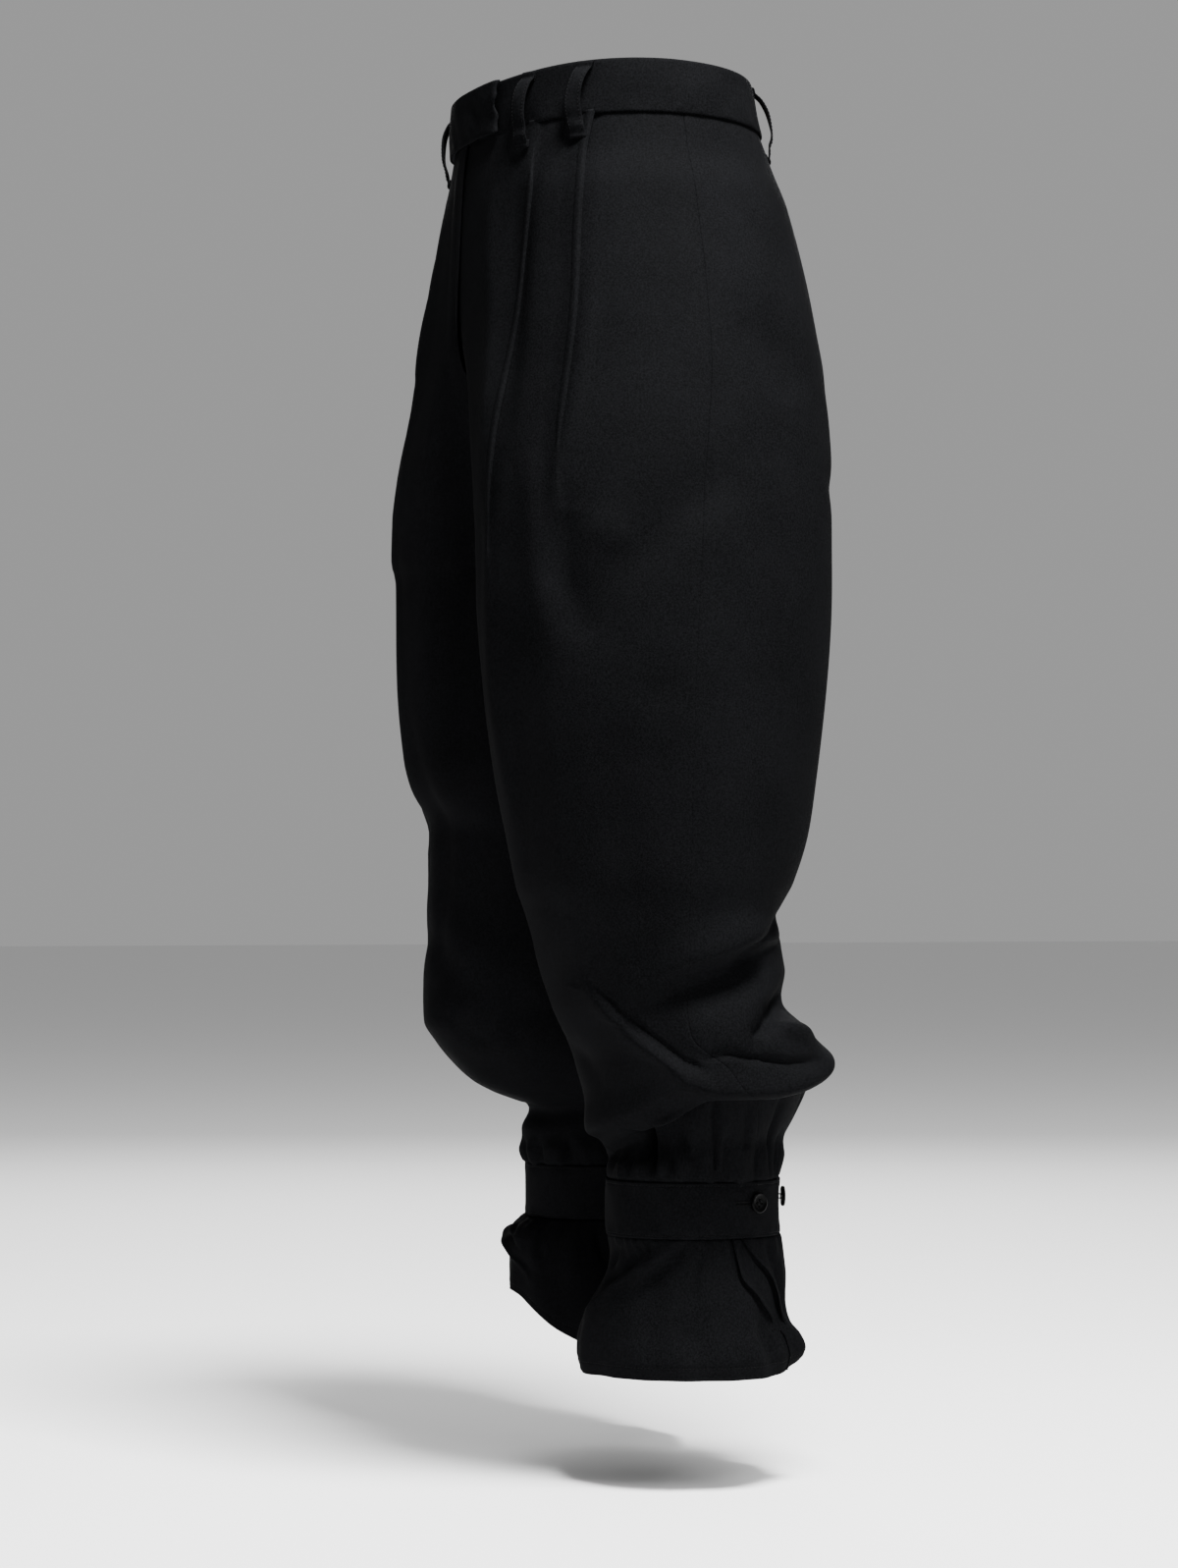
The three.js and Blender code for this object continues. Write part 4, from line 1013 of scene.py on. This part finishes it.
def flounceSurface(leg, angle, down, extra=0.0):
    slit = flounce["slit"](down)
    under = -flounce["layerStep"] * (1 - smooth(angle - slit, 4, 34))
    lines, _ = foldField(flounce["folds"], angle, down)
    turn = np.radians(angle)
    fine = 0.7 * np.sin(turn * 37 + 2 * np.sin(turn * 6)) * (1 - smooth(down, 828, 852))
    wave = 0.6 * np.sin(turn * 9 + down / 23) * smooth(down, 826, 927) + 0.5 * np.sin(turn * 17 - down / 17)
    edges = np.minimum(angle - flounce["start"], 360 + slit - angle)
    up = trousers["hem"] - down
    hem = 0.6 * np.exp(-((up / 1.5) ** 2)) - 0.5 * np.exp(-(((up - flounce["hemStitch"]) / 1.3) ** 2))
    height = under + flounce["layerStep"] * smooth(angle, 316, 348) + extra + lines + fine + wave + hem + 0.7
    tucked = 1.2 * (1 - smooth(down, 825.5, 828)) + (down < 826) * 1.5
    height = height - 0.6 * np.exp(-edges / 0.6) - tucked
    place = flouncePlace(leg, angle, down)
    across = flouncePlace(leg, angle + 1, down) - flouncePlace(leg, angle - 1, down)
    fall = flouncePlace(leg, angle, down + 2) - flouncePlace(leg, angle, down - 2)
    return place + normalise(np.cross(fall, across)) * height[..., None]


def makeFlounce(leg):
    down = flounce["rows"]
    columns, low, rate = [], np.full_like(down, flounce["start"]), flounce["degreesPerMillimetre"]
    for tuck in flounce["tucks"]:
        fold, section = tuck["angle"](down), flounce["tuckSection"]
        grown = smooth(down, *flounce["tuckGrows"])
        strength = 1 - smooth(down, *tuck["opens"])
        step = mix(0.35, 0.75, grown) * rate
        even = np.linspace(section[0][0], section[-1][0], len(section))
        shares = np.linspace(0, 1, tuck["columns"] + 1)[:-1]
        columns += [(mix(low, fold + even[0] * step, k), 0 * down) for k in shares]
        for at, (along, rise) in zip(even, section):
            columns.append((fold + mix(at, along, strength) * step, rise * strength * mix(0.4, 1, grown)))
        low = fold + (even[-1] + 1) * step
    end = 360 + flounce["slit"](down)
    columns += [(mix(low, end, k), 0 * down) for k in np.linspace(0, 1, 34)]
    angle, extra = (np.stack([c[k] for c in columns], axis=1) for k in (0, 1))
    down = np.repeat(down[:, None], angle.shape[1], axis=1)
    name = "flounce_" + leg["name"]
    mesh = clothMesh(name + "_cloth", mirrorX(flounceSurface(leg, angle, down, extra), leg), leg["side"] < 0)
    return addPiece(name + "_cloth", mesh, twill, name, flounce["wall"])


flounces = [makeFlounce(leg) for leg in (leftLeg, rightLeg)]
print("flounces made")


# Stitching: a thread that dips through the cloth between stitches
thread = {"radius": 0.2, "pitch": 2.6, "shown": 0.72, "over": 0.16, "sunk": 0.45}


def addThread(name, strands, radius, roundness):
    data = bpy.data.curves.new(name, "CURVE")
    data.dimensions = "3D"
    data.bevel_depth = radius * millimetre
    data.bevel_resolution = roundness
    for points in strands:
        spline = data.splines.new("POLY")
        spline.points.add(len(points) - 1)
        spline.points.foreach_set("co", np.concatenate([points, np.ones((len(points), 1))], axis=1).ravel())
    data.materials.append(threadBlack)
    piece = addObject(name, data)
    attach(piece, "root")
    return piece


def threadLine(name, rows, pitch=thread["pitch"], radius=thread["radius"]):
    strands = []
    for places, normals in rows:
        run = np.concatenate([[0], np.cumsum(np.linalg.norm(np.diff(places, axis=0), axis=1))])
        count = max(1, int(run[-1] / pitch))
        corners = np.array([0, 0.14, 0.58, thread["shown"]])
        shares = (np.arange(count)[:, None] + corners).ravel() * run[-1] / count
        lift = np.tile([-thread["sunk"], thread["over"], thread["over"], -thread["sunk"]], count)
        points = np.stack([np.interp(shares, run, places[:, k]) for k in range(3)], axis=1)
        facing = np.stack([np.interp(shares, run, normals[:, k]) for k in range(3)], axis=1)
        strands.append((points + facing * lift[:, None]) * millimetre)
    return addThread(name, strands, radius, 0)


# A row of stitches on a surface, through evenly taken angles at one or a few distances down
def stitchRow(surface, angles, downs, leg):
    places, normals = placesAndNormals(surface, angles, downs + 0 * angles)
    return mirrorX(places, leg), mirrorX(normals, leg)


def strapRow(strap, across):
    places, fronts = strapPlaces(strap, [across])
    first, last = 14, beltLoop["rows"] - 14
    return (places[:, 0] + fronts * beltLoop["wall"] / 2)[first:last], fronts[first:last]


loopRows = [strapRow(strap, side) for strap in beltLoops for side in (-4.7, 4.7)]
loopThread = threadLine("belt_loop_stitching", loopRows)
cuffThreads, flounceThreads = [], []
for leg in (leftLeg, rightLeg):
    around = np.linspace(cuff["lap"] + 3, 360 + cuff["lap"] - 1.5, 400)
    rows = [stitchRow(cuffSurface, around, trousers["cuffTop"] + 2.7, leg),
            stitchRow(cuffSurface, around, trousers["cuffBottom"] - 2.7, leg)]
    ends = np.linspace(trousers["cuffTop"] + 3, trousers["cuffBottom"] - 3, 30)
    rows.append(stitchRow(cuffSurface, np.full(30, 360 + cuff["lap"] - 1.8), ends, leg))
    cuffThreads.append(threadLine("cuff_" + leg["name"] + "_stitching", rows))
    around = np.linspace(flounce["start"] + 2, 360 + 56, 400)
    hemDown = float(trousers["hem"] - flounce["hemStitch"])
    hemRow = stitchRow(lambda a, d, leg=leg: flounceSurface(leg, a, d), around, hemDown, leg)
    flounceThreads.append(threadLine("flounce_" + leg["name"] + "_stitching", [hemRow]))
print("stitching made")


# Four-hole buttons with a raised rim, a dished middle and thread through the holes
button = {
    "profile": [
        (0, 0.55), (1.1, 0.3), (5.6, 0), (6.8, 0.2), (7.5, 0.8), (7.8, 1.6), (7.7, 2.3), (7.3, 2.8), (6.8, 3),
        (6.3, 2.85), (5.8, 2.4), (5.3, 2.15), (4.6, 2.05),
    ],
    "dish": (4.1, 3.7, 3.4, 3.1, 2.8, 2.6, 2.4, 2.2, 2.0, 1.8, 1.6, 1.4, 1.2, 0.9, 0.5, 0),
    "dishHeight": 2.0,
    "around": 96,
    "holeSpread": 1.6,
    "holeEdge": (0.72, 1.05),
    "holeDepth": 1.3,
    "standOff": 0.3,
    "threadRadius": 0.17,
    "places": [("button_holding", 25, 800), ("button_spare", 76, 799)],
}


def buttonFrame(leg, angle, down):
    turn = angle + 360 if angle < cuff["lap"] else angle
    facing = normalise(np.array([
        math.cos(math.radians(turn)) / cuff["halfWidth"], math.sin(math.radians(turn)) / cuff["halfDepth"], 0,
    ]))
    out = float(cuffLayer(np.float64(turn))) + 1.2 + button["standOff"]
    centre = cuffPlace(np.array([float(turn)]), np.array([float(down)]), 0.0)[0] + facing * out
    centre, facing = mirrorX(centre, leg), mirrorX(facing, leg)
    along = np.array([-facing[1], facing[0], 0])
    frame = Matrix((along, np.array([0, 0, 1.0]), facing)).transposed().to_4x4()
    return Matrix.Translation(Vector(centre)) @ frame @ Matrix.Rotation(math.radians(12 + turn), 4, "Z")


def makeButton(leg, name, angle, down):
    shape = bmesh.new()
    outline = button["profile"] + [(radius, button["dishHeight"]) for radius in button["dish"]]
    line = [shape.verts.new((radius, 0, height)) for radius, height in outline]
    edges = [shape.edges.new(pair) for pair in zip(line, line[1:])]
    bmesh.ops.spin(shape, geom=line + edges, cent=(0, 0, 0), axis=(0, 0, 1), angle=2 * math.pi,
                   steps=button["around"], use_merge=True)
    bmesh.ops.remove_doubles(shape, verts=shape.verts[:], dist=0.004)
    spread = button["holeSpread"]
    for vertex in shape.verts:
        if vertex.co.z < 1.5 or vertex.co.xy.length > 4:
            continue
        for x in (-spread, spread):
            for y in (-spread, spread):
                away = math.hypot(vertex.co.x - x, vertex.co.y - y)
                vertex.co.z -= button["holeDepth"] * (1 - float(smooth(away, *button["holeEdge"])))
    bmesh.ops.recalc_face_normals(shape, faces=shape.faces[:])
    for face in shape.faces:
        face.smooth = True
    frame = buttonFrame(leg, angle, down)
    bmesh.ops.transform(shape, matrix=Matrix.Scale(millimetre, 4) @ frame, verts=shape.verts[:])
    fullName = name + "_" + leg["name"]
    mesh = bpy.data.meshes.new(fullName + "_disc")
    shape.to_mesh(mesh)
    shape.free()
    addPiece(fullName + "_disc", mesh, buttonBlack, fullName)
    sewOn(fullName + "_thread", frame)


# Thread that crosses the button from hole to hole and goes down through it to the cloth
def sewOn(name, frame):
    spread = button["holeSpread"]
    strands = []
    for x in (-spread, spread):
        for strand in (-0.28, 0, 0.28):
            path = [
                (x + strand, -spread, -1.4), (x + strand, -spread, 1.7),
                (x + 0.8 * strand, -spread + 0.5, 2.25), (x + 0.7 * strand, 0, 2.4),
                (x + 0.8 * strand, spread - 0.5, 2.25), (x + strand, spread, 1.7), (x + strand, spread, -1.4),
            ]
            strands.append([millimetre * (frame @ Vector(place)) for place in path])
    addThread(name, strands, button["threadRadius"], 2)


for leg in (leftLeg, rightLeg):
    for name, angle, down in button["places"]:
        makeButton(leg, name, angle, down)
print("buttons made")


# Buttonholes: a slit in the lap under each holding button, with its edges overcast
buttonhole = {"angles": (368, 388), "down": 800, "turns": 46, "width": (0.5, 2.0), "lift": 0.3, "pitch": 0.62}


def makeButtonhole(leg):
    rows = []
    for side in (-1, 1):
        angles = np.linspace(*buttonhole["angles"], buttonhole["turns"])
        inOut = np.where(np.arange(buttonhole["turns"]) % 2, *buttonhole["width"])
        zigzag = buttonhole["down"] + side * inOut
        places, normals = placesAndNormals(cuffSurface, angles, zigzag)
        rows.append((mirrorX(places + normals * buttonhole["lift"], leg), mirrorX(normals, leg)))
    return threadLine("buttonhole_" + leg["name"], rows, pitch=buttonhole["pitch"], radius=0.22)


buttonholes = [makeButtonhole(leg) for leg in (leftLeg, rightLeg)]
print("buttonholes made")


# The strip behind the fly opening: its edges' places across and down, with how far it lies behind the front
shield = {"across": (-20, 18), "down": (4, 187), "sunk": 2.4, "sunkBelow": 2, "wall": 1.4}


def makeFlyShield():
    x, down = np.meshgrid(np.linspace(*shield["across"], 24), np.linspace(*shield["down"], 60))
    angle = frontAngle(leftLeg, np.abs(x), down)
    place, normal = tubePlace(leftLeg, angle, down), tubeNormal(leftLeg, angle, down)
    sunk = shield["sunk"] + shield["sunkBelow"] * smooth(down, 115, 187)
    place = place - normal * sunk[..., None]
    place[..., 0] *= np.where(x < 0, -1, 1)
    name = "fly_shield_cloth"
    return addPiece(name, clothMesh(name, place), twill, "fly_shield", shield["wall"])


flyShield = makeFlyShield()

# Flat cut of each sheet in metres (width, length), and its area where the cut isn't a rectangle
cuts = {
    "frontLeft": (0.40, 0.88, 0.253),
    "frontRight": (0.41, 0.88, 0.266),
    "backLeft": (0.44, 0.90, 0.255),
    "backRight": (0.44, 0.90, 0.245),
    "waistband": (0.90, 0.041, None),
    "cuff": (0.447, 0.043, None),
    "flounceLeft": (0.575, 0.12, 0.054),
    "flounceRight": (0.575, 0.12, 0.05),
    "flyShield": (0.039, 0.184, None),
    "beltLoop": (0.013, 0.076, None),
}


def declareCut(piece, cut):
    width, length, area = cuts[cut]


declareCut(waistband, "waistband")
declareCut(flyShield, "flyShield")
for strap in straps:
    declareCut(strap, "beltLoop")
for i, side in enumerate(("left", "right")):
    for part in ("front", "back"):
        panel = panels[f"{part}_{side}_cloth"]
        declareCut(panel, part + side.capitalize())
    declareCut(cuffs[i], "cuff")
    declareCut(flounces[i], "flounce" + side.capitalize())


# The waist's flat hook and the bar it catches
fastening = {
    "angle": -78,
    "height": 17,
    "hook": (11, 7, 0.6),
    "bar": (12, 3, 0.6),
    "hookOut": 0.7,
    "barOut": -0.1,
    "corner": 1.2,
    "edge": 0.15,
}


def makeFastening(name, size, out):
    shape = bmesh.new()
    bmesh.ops.create_cube(shape, size=1)
    bmesh.ops.scale(shape, vec=size, verts=shape.verts[:])
    corners = [edge for edge in shape.edges if abs(edge.verts[0].co.z - edge.verts[1].co.z) > 0.1]
    bevel = {"offset_type": "OFFSET", "affect": "EDGES", "profile": 0.5, "material": -1}
    bmesh.ops.bevel(shape, geom=corners, offset=fastening["corner"], segments=5, **bevel)
    rim = [edge for edge in shape.edges if edge.calc_face_angle(0) > 0.6]
    bmesh.ops.bevel(shape, geom=rim, offset=fastening["edge"], segments=2, **bevel)
    facing = bandFacing(fastening["angle"])
    centre = bandPlace(np.array([float(fastening["angle"])]), float(fastening["height"]))[0] + facing * out
    along = np.array([-facing[1], facing[0], 0])
    frame = Matrix.Translation(Vector(centre)) @ Matrix((along, (0, 0, 1), facing)).transposed().to_4x4()
    bmesh.ops.transform(shape, matrix=Matrix.Scale(millimetre, 4) @ frame, verts=shape.verts[:])
    mesh = bpy.data.meshes.new(name + "_plate")
    shape.to_mesh(mesh)
    shape.free()
    return addPiece(name + "_plate", mesh, platedSteel, name)


makeFastening("waist_hook", fastening["hook"], fastening["hookOut"])
makeFastening("waist_bar", fastening["bar"], fastening["barOut"])
print("fly shield and fastening made")


# Floor and light
stage = {
    "floorDown": 1010,
    "floorSize": 30,
    "floorColour": (0.86, 0.86, 0.86, 1),
    "floorRoughness": 0.9,
    "skyStrength": 0.36,
    "aim": (0, 0, -0.45),
}


def makeFloor():
    floor = bmesh.new()
    bmesh.ops.create_grid(floor, x_segments=4, y_segments=4, size=stage["floorSize"])
    bmesh.ops.translate(floor, verts=floor.verts[:], vec=(0, 0, -stage["floorDown"] * millimetre))
    mesh = bpy.data.meshes.new("floor")
    floor.to_mesh(mesh)
    floor.free()
    piece = addObject("floor", mesh)
    paint = bpy.data.materials.new("paleFloor")
    paint.use_nodes = True
    shader = paint.node_tree.nodes["Principled BSDF"]
    shader.inputs["Base Color"].default_value = stage["floorColour"]
    shader.inputs["Roughness"].default_value = stage["floorRoughness"]
    mesh.materials.append(paint)


lamps = [
    {"name": "overhead", "turn": 98, "out": 1.0, "up": 2.3, "size": 0.7, "power": 360},
    {"name": "key", "turn": 100, "out": 2.3, "up": 2.4, "size": 1.2, "power": 50},
    {"name": "fill", "turn": 250, "out": 2.8, "up": 1.6, "size": 1.8, "power": 70},
]


def makeLights():
    world = bpy.data.worlds.new("studio")
    bpy.context.scene.world = world
    world.use_nodes = True
    sky = world.node_tree.nodes["Background"]
    sky.inputs["Color"].default_value = (1, 1, 1, 1)
    sky.inputs["Strength"].default_value = stage["skyStrength"]
    aim = Vector(stage["aim"])
    for lamp in lamps:
        light = bpy.data.lights.new(lamp["name"], "AREA")
        light.shape = "SQUARE"
        light.size = lamp["size"]
        light.energy = lamp["power"]
        turn = math.radians(lamp["turn"])
        piece = addObject(lamp["name"], light)
        out = lamp["out"]
        piece.location = aim + Vector((math.sin(turn) * out, -math.cos(turn) * out, lamp["up"]))
        piece.rotation_euler = (aim - piece.location).to_track_quat("-Z", "Y").to_euler()


makeFloor()
makeLights()
print("floor and lights made")
